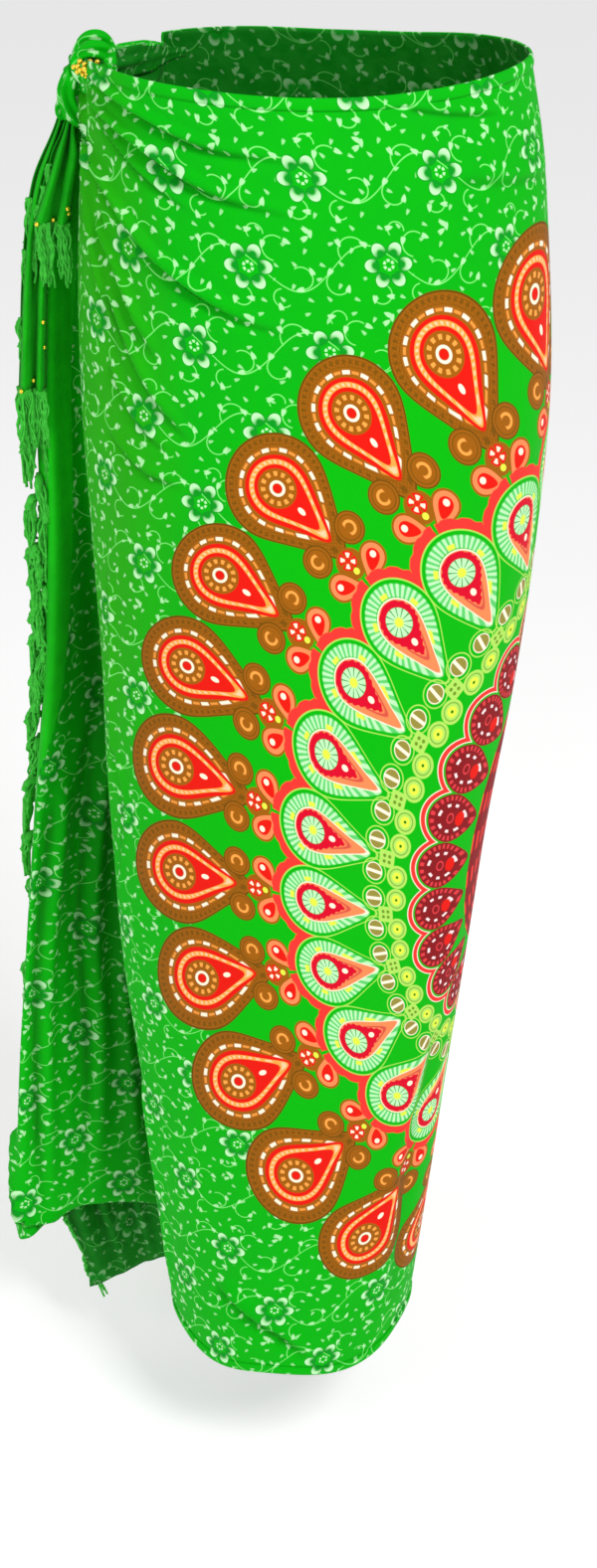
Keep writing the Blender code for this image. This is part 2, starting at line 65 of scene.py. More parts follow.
# The back panel's loose end: its distance behind the front one's, its share of that width, and its ends.
BEHIND, BEHIND_SHARE, BEHIND_LEAST, BEHIND_START, BEHIND_TURN = 0.008, 0.6, 0.008, 0.024, 0.0025
BEHIND_TOP, BEHIND_BOTTOM, BEHIND_SLANT = -0.066, -0.962, 0.05
KNOT = np.array((-0.127, 0.01, -0.013))

# Sizes of the looks.

CLOTH, THIN = 0.0009, 0.0008  # wall of the cloth in view, and of the tails
HEM_WIDTH, HEM_WALL = 0.007, 0.0006
HEM_LIFT, HEM_ROLL = 0.0007, 0.0006  # how far a hem lies off its panel, and how much further its middle does
ROLLED = 1.6  # how fast the print runs round rolled cloth, for each half height

# Creases, as lines over the cloth: distance round from the far side and depth below the waist, then
# half width and height. A creased fold rises above its line and sinks below it, with painted shade there.
CREASES = (
    # points (round, depth), half width, height
    (((0.335, 0.004), (0.318, 0.012), (0.284, 0.022), (0.245, 0.034), (0.18, 0.04)), 0.003, 0.0046),
    (((0.345, 0.018), (0.314, 0.03), (0.285, 0.042), (0.25, 0.058), (0.194, 0.07)), 0.0032, 0.0054),
    (((0.35, 0.052), (0.33, 0.068), (0.311, 0.086), (0.289, 0.103), (0.25, 0.124), (0.205, 0.136)),
     0.0036, 0.0058),
    (((0.348, 0.084), (0.332, 0.108), (0.318, 0.135), (0.3, 0.16)), 0.0036, 0.0044),
    (((0.35, 0.012), (0.356, 0.045), (0.357, 0.085), (0.345, 0.13), (0.322, 0.18)), 0.0036, 0.0056),
    (((0.33, 0.03), (0.3, 0.05), (0.262, 0.07)), 0.0026, 0.0024),
    (((0.342, 0.12), (0.316, 0.17), (0.28, 0.205)), 0.004, 0.0034),
    (((0.352, 0.3), (0.346, 0.4), (0.338, 0.56)), 0.004, 0.0032),
    (((0.35, 0.208), (0.32, 0.226), (0.285, 0.232)), 0.003, 0.0024),
    (((0.346, 0.166), (0.324, 0.196), (0.296, 0.212)), 0.0028, 0.0024),
    (((0.352, 0.036), (0.342, 0.062), (0.336, 0.092)), 0.0024, 0.0026),
    (((0.34, 0.43), (0.318, 0.48), (0.322, 0.54), (0.312, 0.6)), 0.0036, 0.0026),
    (((0.205, 0.852), (0.177, 0.872), (0.15, 0.888), (0.122, 0.912)), 0.005, 0.0048),
    (((0.13, 0.012), (0.1, 0.018), (0.062, 0.022)), 0.0026, 0.0016),
    (((0.11, 0.052), (0.06, 0.06), (0.000, 0.066)), 0.005, 0.0016),
    (((0.3, 0.7), (0.285, 0.78), (0.27, 0.86), (0.262, 0.925)), 0.008, 0.004),
    (((0.06, 0.64), (0.07, 0.76), (0.062, 0.925)), 0.012, 0.003),
    (((-0.1, 0.12), (-0.17, 0.138), (-0.25, 0.118)), 0.006, 0.0034),
    (((-0.34, 0.07), (-0.3, 0.096), (-0.25, 0.108)), 0.004, 0.0034),
    (((-0.345, 0.1), (-0.3, 0.15), (-0.24, 0.18)), 0.0045, 0.003),
    (((-0.335, 0.02), (-0.29, 0.045), (-0.22, 0.052)), 0.0036, 0.003),
    (((-0.2, 0.42), (-0.19, 0.62), (-0.205, 0.92)), 0.012, 0.004),
    (((-0.11, 0.52), (-0.12, 0.7), (-0.11, 0.92)), 0.012, 0.0034),
    (((-0.29, 0.52), (-0.275, 0.7), (-0.27, 0.92)), 0.01, 0.0034),
)
LOOSE_CREASES = (
    (((0.4, 0.285), (0.425, 0.262), (0.45, 0.25)), 0.003, 0.0048),
    (((0.398, 0.34), (0.425, 0.322), (0.452, 0.3)), 0.003, 0.005),
    (((0.396, 0.385), (0.42, 0.372), (0.45, 0.35)), 0.0028, 0.004),
    (((0.43, 0.43), (0.436, 0.6), (0.424, 0.73), (0.42, 0.9)), 0.008, 0.0075),
    (((0.462, 0.48), (0.468, 0.64), (0.462, 0.78), (0.455, 0.905)), 0.0065, 0.006),
    (((0.392, 0.52), (0.396, 0.66), (0.384, 0.78), (0.372, 0.9)), 0.007, -0.006),
    (((0.5, 0.8), (0.49, 0.85), (0.47, 0.905)), 0.005, 0.0085),
    (((0.51, 0.84), (0.503, 0.87), (0.49, 0.91)), 0.004, 0.007),
    (((0.5, 0.868), (0.47, 0.884), (0.44, 0.89)), 0.004, 0.005),
)
BEHIND_CREASES = (
    (((-0.36, 0.7), (-0.352, 0.82), (-0.345, 0.98)), 0.005, 0.008),
    (((-0.385, 0.7), (-0.38, 0.82), (-0.372, 0.98)), 0.005, 0.008),
    (((-0.41, 0.7), (-0.4, 0.82), (-0.396, 0.98)), 0.005, 0.007),
)
CREASE_GROWS, CREASE_FADES = 0.12, 0.35  # shares of its length over which a crease comes and goes
SOFT = (
    # height, half waves round per metre, half waves down per metre, start
    (0.0007, 9.0, 1.3, 0.4),
    (0.0005, 15.0, -2.1, 1.7),
    (0.0003, 31.0, 6.0, 0.2),
)

# The medallion of the print: its middle on the cloth, its repeats, and places where its rings are seen.
MEDALLION = (-0.0585, -0.469)
MEDALLION_SCALE = 0.94
REPEATS = 28
FIRST_REPEAT = 1  # repeats between straight up and the first one in RINGS
OUTER_RING, SECOND_RING, INNER_RING = 0.337, 0.23, 0.13  # radii of the middles of the drops
RINGS = (
    # radius, first repeat seen, then (distance round from the far side, height) of each repeat in turn
    (OUTER_RING, 0, ((0.053, -0.13), (0.131, -0.15), (0.188, -0.18), (0.231, -0.225), (0.262, -0.285),
                     (0.279, -0.35), (0.277, -0.425), (0.264, -0.505), (0.237, -0.585), (0.202, -0.665),
                     (0.154, -0.74), (0.097, -0.81))),
    (SECOND_RING, 1, ((0.06, -0.27), (0.11, -0.29), (0.152, -0.315), (0.172, -0.355), (0.182, -0.405),
                      (0.181, -0.46), (0.171, -0.515), (0.154, -0.57), (0.126, -0.63), (0.086, -0.69))),
    (INNER_RING, 3, ((0.064, -0.405), (0.08, -0.435), (0.082, -0.47), (0.082, -0.505), (0.081, -0.54),
                     (0.069, -0.575))),
)  # fmt: skip
PULL_REACH = 0.12  # how far the cloth's stretch at each of those places is felt
PULL_SLACK = 0.03  # how loosely the print keeps to them
OFF_MEDALLION = 0.3  # rolled cloth takes its print from above the medallion

# Painted shade on the loose end beside the fold: how dark, how far across, and the depths where it comes in.
VALLEY_SHADE, VALLEY_WIDTH, VALLEY_TOP, VALLEY_COMES = 0.85, 0.043, 0.22, 0.2
BUNCH, BUNCH_TOP, BUNCH_HEIGHT = 0.022, -0.86, 0.09  # how the lower corner behind is drawn in
BORDER = 0.034  # plain cloth along the fringed edge
BORDER_LOSS, BORDER_FROM, BORDER_OVER = 0.75, 0.45, 0.3  # and how it narrows, by share of the depth

# Shape.


@functools.cache
def at_height(part, column, z):
    """The column's value at height z, on a curve with no corners through the table's points."""
    table = TABLES[part]
    heights, values = np.array(table["z"])[::-1], np.array(table[column])[::-1]
    slopes = np.gradient(values, heights)
    z = float(np.clip(z, heights[0], heights[-1]))
    i = int(np.clip(np.searchsorted(heights, z) - 1, 0, len(heights) - 2))
    step = heights[i + 1] - heights[i]
    t = (z - heights[i]) / step
    return (
        (1 + 2 * t) * (1 - t) ** 2 * values[i]
        + t * (1 - t) ** 2 * step * slopes[i]
        + t * t * (3 - 2 * t) * values[i + 1]
        - t * t * (1 - t) * step * slopes[i + 1]
    )


def ease(t):
    t = np.clip(t, 0.0, 1.0)
    return t * t * (3 - 2 * t)


def lengths_along(path):
    return np.concatenate([[0], np.cumsum(np.linalg.norm(np.diff(path, axis=0), axis=1))])


def at_shares(path, shares):
    """Points at these shares of the path's length."""
    lengths = lengths_along(path)
    wanted = np.asarray(shares) * lengths[-1]
    return np.stack([np.interp(wanted, lengths, column) for column in path.T], axis=1)


def curve_through(points, per_span=12):
    """A smooth path through the points, as a chain of cubic arcs."""
    points = np.array(points, float)
    padded = np.vstack([2 * points[0] - points[1], points, 2 * points[-1] - points[-2]])
    path = [points[0]]
    for a, b, c, d in zip(padded, padded[1:], padded[2:], padded[3:]):
        for step in range(1, per_span + 1):
            t = step / per_span
            bend, twist = 2 * a - 5 * b + 4 * c - d, 3 * b - a - 3 * c + d
            path.append(0.5 * (2 * b + (c - a) * t + bend * t**2 + twist * t**3))
    return np.array(path)


def offset(path, distance):
    """The path seen from above, moved sideways to its left."""
    along = np.gradient(path, axis=0)
    along /= np.linalg.norm(along, axis=1)[:, None]
    return path + distance * np.stack([-along[:, 1], along[:, 0]], axis=1)


def course(heading):
    return np.array((math.cos(heading), math.sin(heading)))


def turned(start, heading, radius, angle, steps=8):
    """A round turn from start: to the left for a positive angle. Returns its points and the new heading."""
    points = [start]
    for _ in range(steps):
        heading += angle / steps / 2
        reach = 2 * radius * math.sin(abs(angle) / steps / 2)
        points.append(points[-1] + reach * course(heading))
        heading += angle / steps / 2
    return points, heading


def fullness(z):
    """0 beside the knot, 1 where the panels have their full width."""
    return ease((-z - KNOT_HALF) / (KNOT_DEPTH - KNOT_HALF))


def heading_of(path):
    step = path[-1] - path[-2]
    return math.atan2(step[1], step[0])


def hip_ring(z, angles):
    """Places on the wrap from above: an oval whose front half is wider on the knot side."""
    left, right = at_height("wrap", "knot_side", z), at_height("wrap", "far_side", z)
    inset = np.where(angles < 0, BACK_INSET, 0.0)
    depth = np.where(angles < 0, at_height("wrap", "back", z), at_height("wrap", "front", z))
    middle, half = (left + inset + right) / 2, (right - left - inset) / 2
    return np.stack([middle + half * np.cos(angles), abs(np.sin(angles)) * depth], axis=1)


@functools.cache
def front_path(z):
    """The front panel from above: round from behind the far side to the soft fold on the knot side."""
    full = fullness(z)
    path = hip_ring(z, np.linspace(SEAM_ANGLE, math.pi - KNOT_CLEAR * (1 - full), 150))
    if not full:
        return path
    fold, heading = turned(path[-1], heading_of(path), FOLD_RADIUS, -FOLD_TURN * full)
    return np.array([*path, *fold[1:], fold[-1] + FOLD_RETURN * full * course(heading)])


@functools.cache
def loose_path(z):
    """The front panel's loose end from above: it turns round inside the fold, then valley, ridge, edge."""
    path = front_path(z)
    heading = heading_of(path)
    turn, _ = turned(path[-1] + 2 * GAP * course(heading), heading, FOLD_RADIUS, LOOSE_TURN, steps=4)
    valley, ridge, edge = (
        np.array((at_height("loose", name + "_x", z), at_height("loose", name + "_y", z)))
        for name in ("valley", "ridge", "edge")
    )
    across = ridge - valley
    bow = LOOSE_BOW * np.array((across[1], -across[0]))
    return curve_through([*turn, valley, valley + across / 2 + bow, ridge, edge])


@functools.cache
def back_path(z):
    """The back panel from above: from the seam round behind, to inside the front panel's edge."""
    clear = KNOT_CLEAR_BACK * (1 - fullness(z)) + BACK_STOP
    return hip_ring(z, np.linspace(SEAM_ANGLE - GAP / at_height("wrap", "back", z), clear - math.pi, 120))


@functools.cache
def behind_path(z):
    """The back panel's loose end: it turns outward and runs behind the front's loose end."""
    back = back_path(z)
    heading = heading_of(back)
    turn, _ = turned(back[-1] + GAP * course(heading), heading, BEHIND_TURN, -math.radians(120), steps=4)
    outer = loose_path(z)
    lengths = lengths_along(outer)
    end = max(BEHIND_SHARE * lengths[-1], BEHIND_START + BEHIND_LEAST)
    lane = outer[(lengths > BEHIND_START) & (lengths < end)]
    return curve_through([*turn, *at_shares(offset(lane, -BEHIND), np.linspace(0, 1, 5))])


@functools.cache
def round_to(path_at, z):
    """How far round the cloth a path starts, measured from the far side, forward positive."""
    if path_at in (front_path, back_path):
        return -abs(SEAM_ANGLE * at_height("wrap", "front", z))
    if path_at is loose_path:
        return round_to(front_path, z) + lengths_along(front_path(z))[-1]
    return round_to(back_path, z) - lengths_along(back_path(z))[-1]


def waist(angle):
    return -WAIST_DIP * np.sin(angle) ** 2


def hem(angle):
    return WRAP["z"][-1] - HEM_DIP * np.maximum(0.0, np.sin(angle)) + HEM_WAVE * np.sin(HEM_WAVES * angle)


def sheet(path_at, top, bottom, shares, rows, dense=0.2, heights=120):
    """A grid of points, and the place of each on the flat cloth as (round, height)."""
    shares = np.asarray(shares)
    tops, bottoms = np.broadcast_to(top(shares), shares.shape), np.broadcast_to(bottom(shares), shares.shape)
    levels = np.linspace(bottoms.min() - 1e-4, tops.max() + 1e-4, heights)
    paths = [path_at(float(z)) for z in levels]
    places = np.array([at_shares(path, shares) for path in paths])
    sense = -1.0 if path_at in (back_path, behind_path) else 1.0
    starts = [round_to(path_at, float(z)) for z in levels]
    runs = [sense * shares * lengths_along(path)[-1] for path in paths]
    rounds = np.array([start + run for start, run in zip(starts, runs)])
    down = np.linspace(0, 1, rows)
    down = dense * down**2 + (1 - dense) * down
    grid, cloth = np.zeros((rows, len(shares), 3)), np.zeros((rows, len(shares), 2))
    for c in range(len(shares)):
        z = tops[c] + (bottoms[c] - tops[c]) * down
        x, y, across = (np.interp(z, levels, seen) for seen in (*places[:, c].T, rounds[:, c]))
        grid[:, c] = np.stack([x, y, z], axis=1)
        cloth[:, c] = np.stack([across, z], axis=1)
    return grid, cloth


def normals_of(grid):
    normal = np.cross(np.gradient(grid, axis=1), np.gradient(grid, axis=0))
    return normal / np.linalg.norm(normal, axis=2)[:, :, None]


def creased(cloth, creases):
    """How far creases and slow waves lift the cloth at each place on it, and how much shade is painted into
    the creases.
    """
    lift, dark = np.zeros(cloth.shape[:2]), np.zeros(cloth.shape[:2])
    for points, width, height in creases:
        line = curve_through(np.array(points) * (1, -1), per_span=10)
        near = np.full(lift.shape, np.inf)
        side, run = np.zeros(lift.shape), np.zeros(lift.shape)
        for n, (a, b) in enumerate(zip(line, line[1:])):
            step = b - a
            share = np.clip(((cloth - a) @ step) / (step @ step), 0, 1)
            away = cloth - a - share[:, :, None] * step
            distance = np.linalg.norm(away, axis=2)
            closer = distance < near
            near = np.where(closer, distance, near)
            side = np.where(closer, np.sign(step[0] * away[:, :, 1] - step[1] * away[:, :, 0]), side)
            run = np.where(closer, (n + share) / (len(line) - 1), run)
        # The lines run away from the knot, so the side above each one is the right of its course.
        across = -side * near / width * (1 if line[-1, 0] < line[0, 0] else -1)
        fade = ease(run / CREASE_GROWS) * ease((1 - run) / CREASE_FADES)
        lift += height * fade * (np.exp(-((across - 0.6) ** 2)) - 0.8 * np.exp(-((across + 0.7) ** 2)))
        # Painted shade: darkness kept for the colour in the trough just below each crease line.
        steep = min(1.0, abs(height) / width)
        dark = np.maximum(dark, steep * fade * np.exp(-(((across + 0.5) / 0.55) ** 2)))
    for height, around, down, start in SOFT:
        lift += height * np.sin(math.pi * (around * cloth[:, :, 0] + down * cloth[:, :, 1]) + start)
    return lift, dark


@functools.cache
def stretch():
    """Where the rings are seen on the cloth, and how much the print is pulled at each of those places."""
    marks, wanted = [], []
    for radius, first, places in RINGS:
        for n, place in enumerate(places, first):
            angle = math.pi / 2 - (n + FIRST_REPEAT) * 2 * math.pi / REPEATS
            marks.append(place)
            wanted.append((radius * math.cos(angle), radius * math.sin(angle)))
    marks, wanted = np.array(marks), np.array(wanted)
    felt = np.exp(-((marks[:, None] - marks) ** 2).sum(axis=2) / PULL_REACH**2)
    felt += PULL_SLACK * np.eye(len(marks))
    return marks, np.linalg.solve(felt, wanted - (marks - MEDALLION) * MEDALLION_SCALE)


def print_place(cloth):
    """The place in the medallion, in metres from its middle, of each place on the cloth."""
    marks, pulls = stretch()
    place = (cloth - MEDALLION) * MEDALLION_SCALE
    for mark, pull in zip(marks, pulls):
        place = place + np.exp(-((cloth - mark) ** 2).sum(axis=-1) / PULL_REACH**2)[..., None] * pull
    return place


# Meshes.


class Build:
    """Points, faces, places on the flat cloth and materials that together become one piece."""

    def __init__(self):
        self.points, self.faces, self.cloth, self.slots, self.count = [], [], [], [], 0

    def add(self, points, faces, cloth, slot=0):
        cloth = np.asarray(cloth, float)
        if cloth.shape[1] == 2:
            cloth = np.column_stack([cloth, np.zeros(len(cloth))])
        self.points.append(np.asarray(points, float))
        self.cloth.append(cloth)
        self.faces += [tuple(i + self.count for i in face) for face in faces]
        self.slots += list(slot) if hasattr(slot, "__len__") else [slot] * len(faces)
        self.count += len(points)

    def piece(self, name, materials):
        points, cloth = np.concatenate(self.points), np.concatenate(self.cloth)
        mesh = bpy.data.meshes.new(name)
        mesh.from_pydata(points.tolist(), [], self.faces)
        for made in materials:
            mesh.materials.append(made)
        mesh.polygons.foreach_set("material_index", self.slots)
        mesh.polygons.foreach_set("use_smooth", [True] * len(self.faces))
        corners = np.zeros(len(mesh.loops), np.int32)
        mesh.loops.foreach_get("vertex_index", corners)
        for uv_map, places in (("Cloth", cloth[:, :2]), ("Medallion", print_place(cloth[:, :2]))):
            mesh.uv_layers.new(name=uv_map).data.foreach_set("uv", places[corners].ravel())
        # The third place of each point is painted shade for creases, the valley by the fold and folds of
        # tails and gathers; it is kept as the crease attribute.
        mesh.attributes.new("crease", "FLOAT", "POINT").data.foreach_set("value", cloth[:, 2])
        obj = bpy.data.objects.new(name, mesh)
        bpy.context.scene.collection.objects.link(obj)
        return obj


def shell(build, grid, cloth, thickness, face=0, reverse=1, outward=1):
    """A closed wall round the grid: the printed face on its outward side, the reverse on the other."""
    rows, columns, _ = grid.shape
    lift = normals_of(grid) * thickness / 2 * outward
    index = np.arange(rows * columns).reshape(rows, columns)
    quads = np.stack([index[:-1, :-1], index[:-1, 1:], index[1:, 1:], index[1:, :-1]], axis=-1).reshape(-1, 4)
    outer, inner = (quads[:, ::-1], quads) if outward > 0 else (quads, quads[:, ::-1])
    border = np.concatenate([index[0, :-1], index[:-1, -1], index[-1, :0:-1], index[:0:-1, 0]])
    ends = np.stack([border, np.roll(border, -1)], axis=1)
    rim = np.stack([ends[:, 0], ends[:, 1], ends[:, 1] + index.size, ends[:, 0] + index.size], axis=1)
    if outward < 0:
        rim = rim[:, ::-1]
    faces = [*map(tuple, outer), *map(tuple, inner + index.size), *map(tuple, rim)]
    points = np.concatenate([(grid + lift).reshape(-1, 3), (grid - lift).reshape(-1, 3)])
    slots = [face] * len(outer) + [reverse] * len(inner) + [face] * len(rim)
    build.add(points, faces, np.concatenate([cloth.reshape(index.size, -1)] * 2), slots)


def hem_band(build, grid, cloth, row, side):
    """A rolled hem: a soft narrow band on the outer side of the panel's top or bottom edge."""
    beside = 1 if row == 0 else -2
    normal = normals_of(grid)[row] * side
    inward = grid[beside] - grid[row]
    steps = np.linalg.norm(inward, axis=1)[:, None] / HEM_WIDTH
    cloth_inward = (cloth[beside] - cloth[row]) * (1, 1, 0) / steps
    band, places = [], []
    for t in np.linspace(0, 1, 6):
        lift = HEM_LIFT + HEM_ROLL * math.sin(math.pi * t) ** 0.5
        band.append(grid[row] + inward / steps * t + normal * lift)
        places.append(cloth[row] + cloth_inward * t)
    shell(build, np.stack(band), np.stack(places), HEM_WALL, 0, 0, outward=side)


def tube(path, radii, sides, pleats=0, depth=0.0, twist=0.0, closed=False, up=(0.0, 0.0, 1.0)):
    """Points, faces and (round, along) of rolled cloth, with a half height and half width at each point."""
    path = np.array(path, float)
    if closed:
        along = np.roll(path, -1, axis=0) - np.roll(path, 1, axis=0)
    else:
        along = np.gradient(path, axis=0)
    along /= np.linalg.norm(along, axis=1)[:, None]
    run = lengths_along(path)
    side = np.array(up, float)
    points, places = [], []
    for n, (centre, forward, (high, wide)) in enumerate(zip(path, along, radii)):
        side = side - forward * (side @ forward)
        side /= np.linalg.norm(side)
        other = np.cross(forward, side)
        for k in range(sides):
            a = 2 * math.pi * k / sides
            ripple = 1 + depth * math.sin(pleats * a + twist * run[n])
            points.append(centre + ripple * (high * side * math.cos(a) + wide * other * math.sin(a)))
            places.append((a * high * ROLLED, OFF_MEDALLION + run[n]))
    faces = []
    count = len(path)
    for n in range(count if closed else count - 1):
        here, there = n * sides, (n + 1) % count * sides
        for k in range(sides):
            after = (k + 1) % sides
            faces.append((here + k, here + after, there + after, there + k))
    if not closed:
        faces += [tuple(range(sides))[::-1], tuple(range(len(points) - sides, len(points)))]
    return points, faces, places


# Materials.


def tone(red, green, blue):
    """A colour as seen on a screen, 0 to 255, in the linear measure that materials take."""
    shares = (red / 255, green / 255, blue / 255)
    return tuple(c / 12.92 if c <= 0.04045 else ((c + 0.055) / 1.055) ** 2.4 for c in shares)


GREEN = tone(0, 181, 4)
SHADE = tone(2, 150, 28)
DEEP = tone(0, 120, 10)
PALE = tone(190, 246, 184)
VINE = tone(130, 236, 122)
OLIVE = tone(158, 92, 8)
TICK = tone(104, 70, 2)
RED = tone(230, 22, 8)
CORAL = tone(246, 54, 48)
ROPE = tone(255, 164, 72)
CREAM = tone(252, 240, 214)
SALMON = tone(252, 138, 84)
CRIMSON = tone(216, 4, 40)
YELLOW = tone(226, 240, 70)
LIME = tone(176, 226, 96)
MAROON = tone(136, 20, 26)
MINT = tone(96, 205, 110)
SAGE = tone(90, 150, 90)
KHAKI = tone(150, 140, 60)
MOSS = tone(110, 150, 40)
BRICK = tone(200, 60, 60)
ROSE = tone(224, 60, 66)
BLUSH = tone(255, 226, 226)
# Painted shade with a warm reflected tint, for the cloth round the front panel's fold.
FOLD_SHADE_AND_REFLECTION = tone(70, 150, 0)
WRONG_SIDE = tone(4, 112, 14)
WRONG_PALE = tone(60, 160, 60)
EDGE = 0.0005  # how softly a drawn line ends, in metres
WEAVE, WEAVE_HEIGHT = 0.0009, 0.00002  # spacing of the threads and how far they stand out
CLOTH_FINISH = {"Roughness": 0.72, "Specular IOR Level": 0.08, "Sheen Weight": 0.03, "Sheen Roughness": 0.4}
# Painted shade in creases, the valley and folds: its strength and the colour it multiplies by.
CREASE_SHADE = 0.85
CREASE_SHADE_TONE = (0.1, 0.28, 0.1)  # the share of the colour left by painted shade in a deep crease


def new_node(kind):
    return Field.tree.nodes.new("ShaderNode" + kind)


def link(source, target):
    Field.tree.links.new(source, target)


class Field:
    """A number worked out at each point of the cloth: the output of a node."""

    tree = None

    def __init__(self, socket):
        self.socket = socket

    def math(self, operation, *others, clamp=False):
        node = new_node("Math")
        node.operation, node.use_clamp = operation, clamp
        for slot, value in zip(node.inputs, (self, *others)):
            if isinstance(value, Field):
                link(value.socket, slot)
            else:
                slot.default_value = float(value)
        return Field(node.outputs[0])

    __add__ = functools.partialmethod(math, "ADD")
    __sub__ = functools.partialmethod(math, "SUBTRACT")
    __mul__ = functools.partialmethod(math, "MULTIPLY")
    __abs__ = functools.partialmethod(math, "ABSOLUTE")
    times_plus = functools.partialmethod(math, "MULTIPLY_ADD")

    def __truediv__(self, other):
        return self * (1 / other)

    def sine(self, factor=1.0, start=0.0):
        return self.times_plus(factor, start).math("SINE")

    def below(self, limit, soft=EDGE):
        """1 where this is below the limit, 0 above, with a soft step between."""
        if isinstance(limit, Field):
            return (limit - self).math("MULTIPLY_ADD", 1 / soft, 0.5, clamp=True)
        return self.math("MULTIPLY_ADD", -1 / soft, limit / soft + 0.5, clamp=True)

    def above(self, limit, soft=EDGE):
        return self.math("MULTIPLY_ADD", 1 / soft, 0.5 - limit / soft, clamp=True)

    def between(self, low, high, soft=EDGE):
        middle, half = (low + high) / 2, (high - low) / 2
        return abs(self - middle).below(half, soft)


def hypot(x, y):
    return (x * x + y * y).math("SQRT")


class Paint:
    """Colours laid over each other, each through a mask."""

    def __init__(self, colour):
        self.colour = colour

    def over(self, mask, colour):
        mix = new_node("Mix")
        mix.data_type = "RGBA"
        link(mask.socket, mix.inputs[0])
        for slot, value in ((mix.inputs[6], self.colour), (mix.inputs[7], colour)):
            value = getattr(value, "colour", value)
            if isinstance(value, tuple):
                slot.default_value = (*value, 1.0)
            else:
                link(value, slot)
        self.colour = mix.outputs[2]
        return self


def drop(x, y, half, out, tip, point=1.6):
    """0 in the middle of a teardrop, 1 on its outline. Its round end is at +y and its tip at -y."""
    inward = y.math("MINIMUM", 0.0) * (1 / tip)
    outward = y.math("MAXIMUM", 0.0) * (1 / out)
    squared = inward * inward
    across = x * squared.times_plus(point, 1.0) * (1 / half)
    return (across * across + squared + outward * outward).math("SQRT")


def turned_about(x, y, dx, dy, degrees):
    """x and y measured from (dx, dy), turned by this angle."""
    c, s = math.cos(math.radians(degrees)), math.sin(math.radians(degrees))
    x, y = x - dx, y - dy
    return x * c + y * s, y * c - x * s


def draw_flowers(paint, u, v):
    """Six-petalled flowers on curling vines with notched leaves, in rows set like bricks."""
    wide, high = 0.079, 0.048
    row = (v / high + 0.5).math("FLOOR")
    x = (u + row * (wide / 2)).math("WRAP", wide / 2, -wide / 2)
    y = v.math("WRAP", high / 2, -high / 2)

    # Stems: a long wave through each row of flowers and the scrolls that leave it.
    stem = abs(y - x.sine(2 * math.pi / wide, 0.6) * 0.0125 + 0.001).below(0.00042, 0.0004)
    mask = stem
    for dx, dy, radius, part in (
        (-0.0165, 0.0105, 0.007, (1.0, 0.5)),
        (-0.029, -0.006, 0.0062, (-1.0, 0.3)),
        (0.0195, 0.0085, 0.0078, (0.4, 1.0)),
        (0.03, -0.009, 0.0064, (0.6, -1.0)),
        (0.006, -0.016, 0.0056, (-0.8, -0.7)),
        (-0.007, 0.019, 0.0046, (0.2, 1.0)),
        (-0.017, -0.017, 0.0052, (1.0, -0.4)),
    ):
        cx, cy = x - dx, y - dy
        arc = abs(hypot(cx, cy) - radius).below(0.00036, 0.0004)
        mask = mask.math("MAXIMUM", arc * (cx * part[0] + cy * part[1]).above(-0.0018, 0.0006))
    paint.over(mask * 0.85, VINE)

    # Leaves: small notched hearts, and buds of the same shape in rows of their own.
    leaves = None
    for dx, dy, degrees in (
        (-0.01, 0.0125, 20), (-0.024, 0.014, -60), (-0.035, -0.002, 160), (-0.027, -0.0125, 80),
        (0.013, 0.0125, 120), (0.0265, 0.013, -20), (0.034, -0.003, 40), (0.0245, -0.012, 200),
        (0.0015, -0.0175, 100), (0.0105, -0.019, 10), (-0.0035, 0.0205, -100), (-0.015, -0.0215, 170),
        (-0.0375, 0.018, 0), (-0.035, 0.0205, 120), (-0.0345, 0.016, 240),
    ):  # fmt: skip
        lx, ly = turned_about(x, y, dx, dy, degrees)
        heart = hypot(lx, (ly - abs(lx) * 0.9) * 0.66).below(0.0014, 0.0005)
        leaves = heart if leaves is None else leaves.math("MAXIMUM", heart)
    radius = hypot(x, y)
    bud_wide, bud_high, bud_shift = 0.0262, 0.0195, 0.0093
    sx = (u + 0.004 + (v / bud_high).math("FLOOR") * bud_shift).math("WRAP", bud_wide, 0.0)
    sy = (v + 0.002).math("WRAP", bud_high, 0.0) - 0.009
    for dx, dy, degrees in (
        (0.0045, 0.003, 30), (0.015, 0.0075, 250), (0.0115, -0.0035, 140), (0.0215, -0.0045, 300),
    ):  # fmt: skip
        lx, ly = turned_about(sx, sy, dx, dy, degrees)
        bud = hypot(lx, (ly - abs(lx) * 1.1) * 0.6).below(0.00095, 0.0004)
        leaves = leaves.math("MAXIMUM", bud * radius.above(0.015, 0.001) * 0.75)
    paint.over(leaves * 0.74, PALE)

    # Flowers.
    turn = y.math("ARCTAN2", x)
    lobe = abs(turn.sine(3.0))
    side = turn.math("WRAP", math.pi / 6, -math.pi / 6) * radius
    petal = hypot(side, radius - 0.0098)
    paint.over(radius.below(0.014, 0.001) * petal.below(0.0045, 0.0006), SHADE)
    shine = radius.math("MULTIPLY_ADD", 1 / 0.0042, -0.0074 / 0.0042, clamp=True)
    crescent = petal.below(0.0038, 0.0005) * hypot(side, radius - 0.0076).above(0.0022, 0.0012)
    paint.over(crescent * shine, PALE)
    dots = radius.between(0.0018, 0.0033, 0.0005) * lobe.above(0.55, 0.3)
    return paint.over(dots * 0.9, PALE)


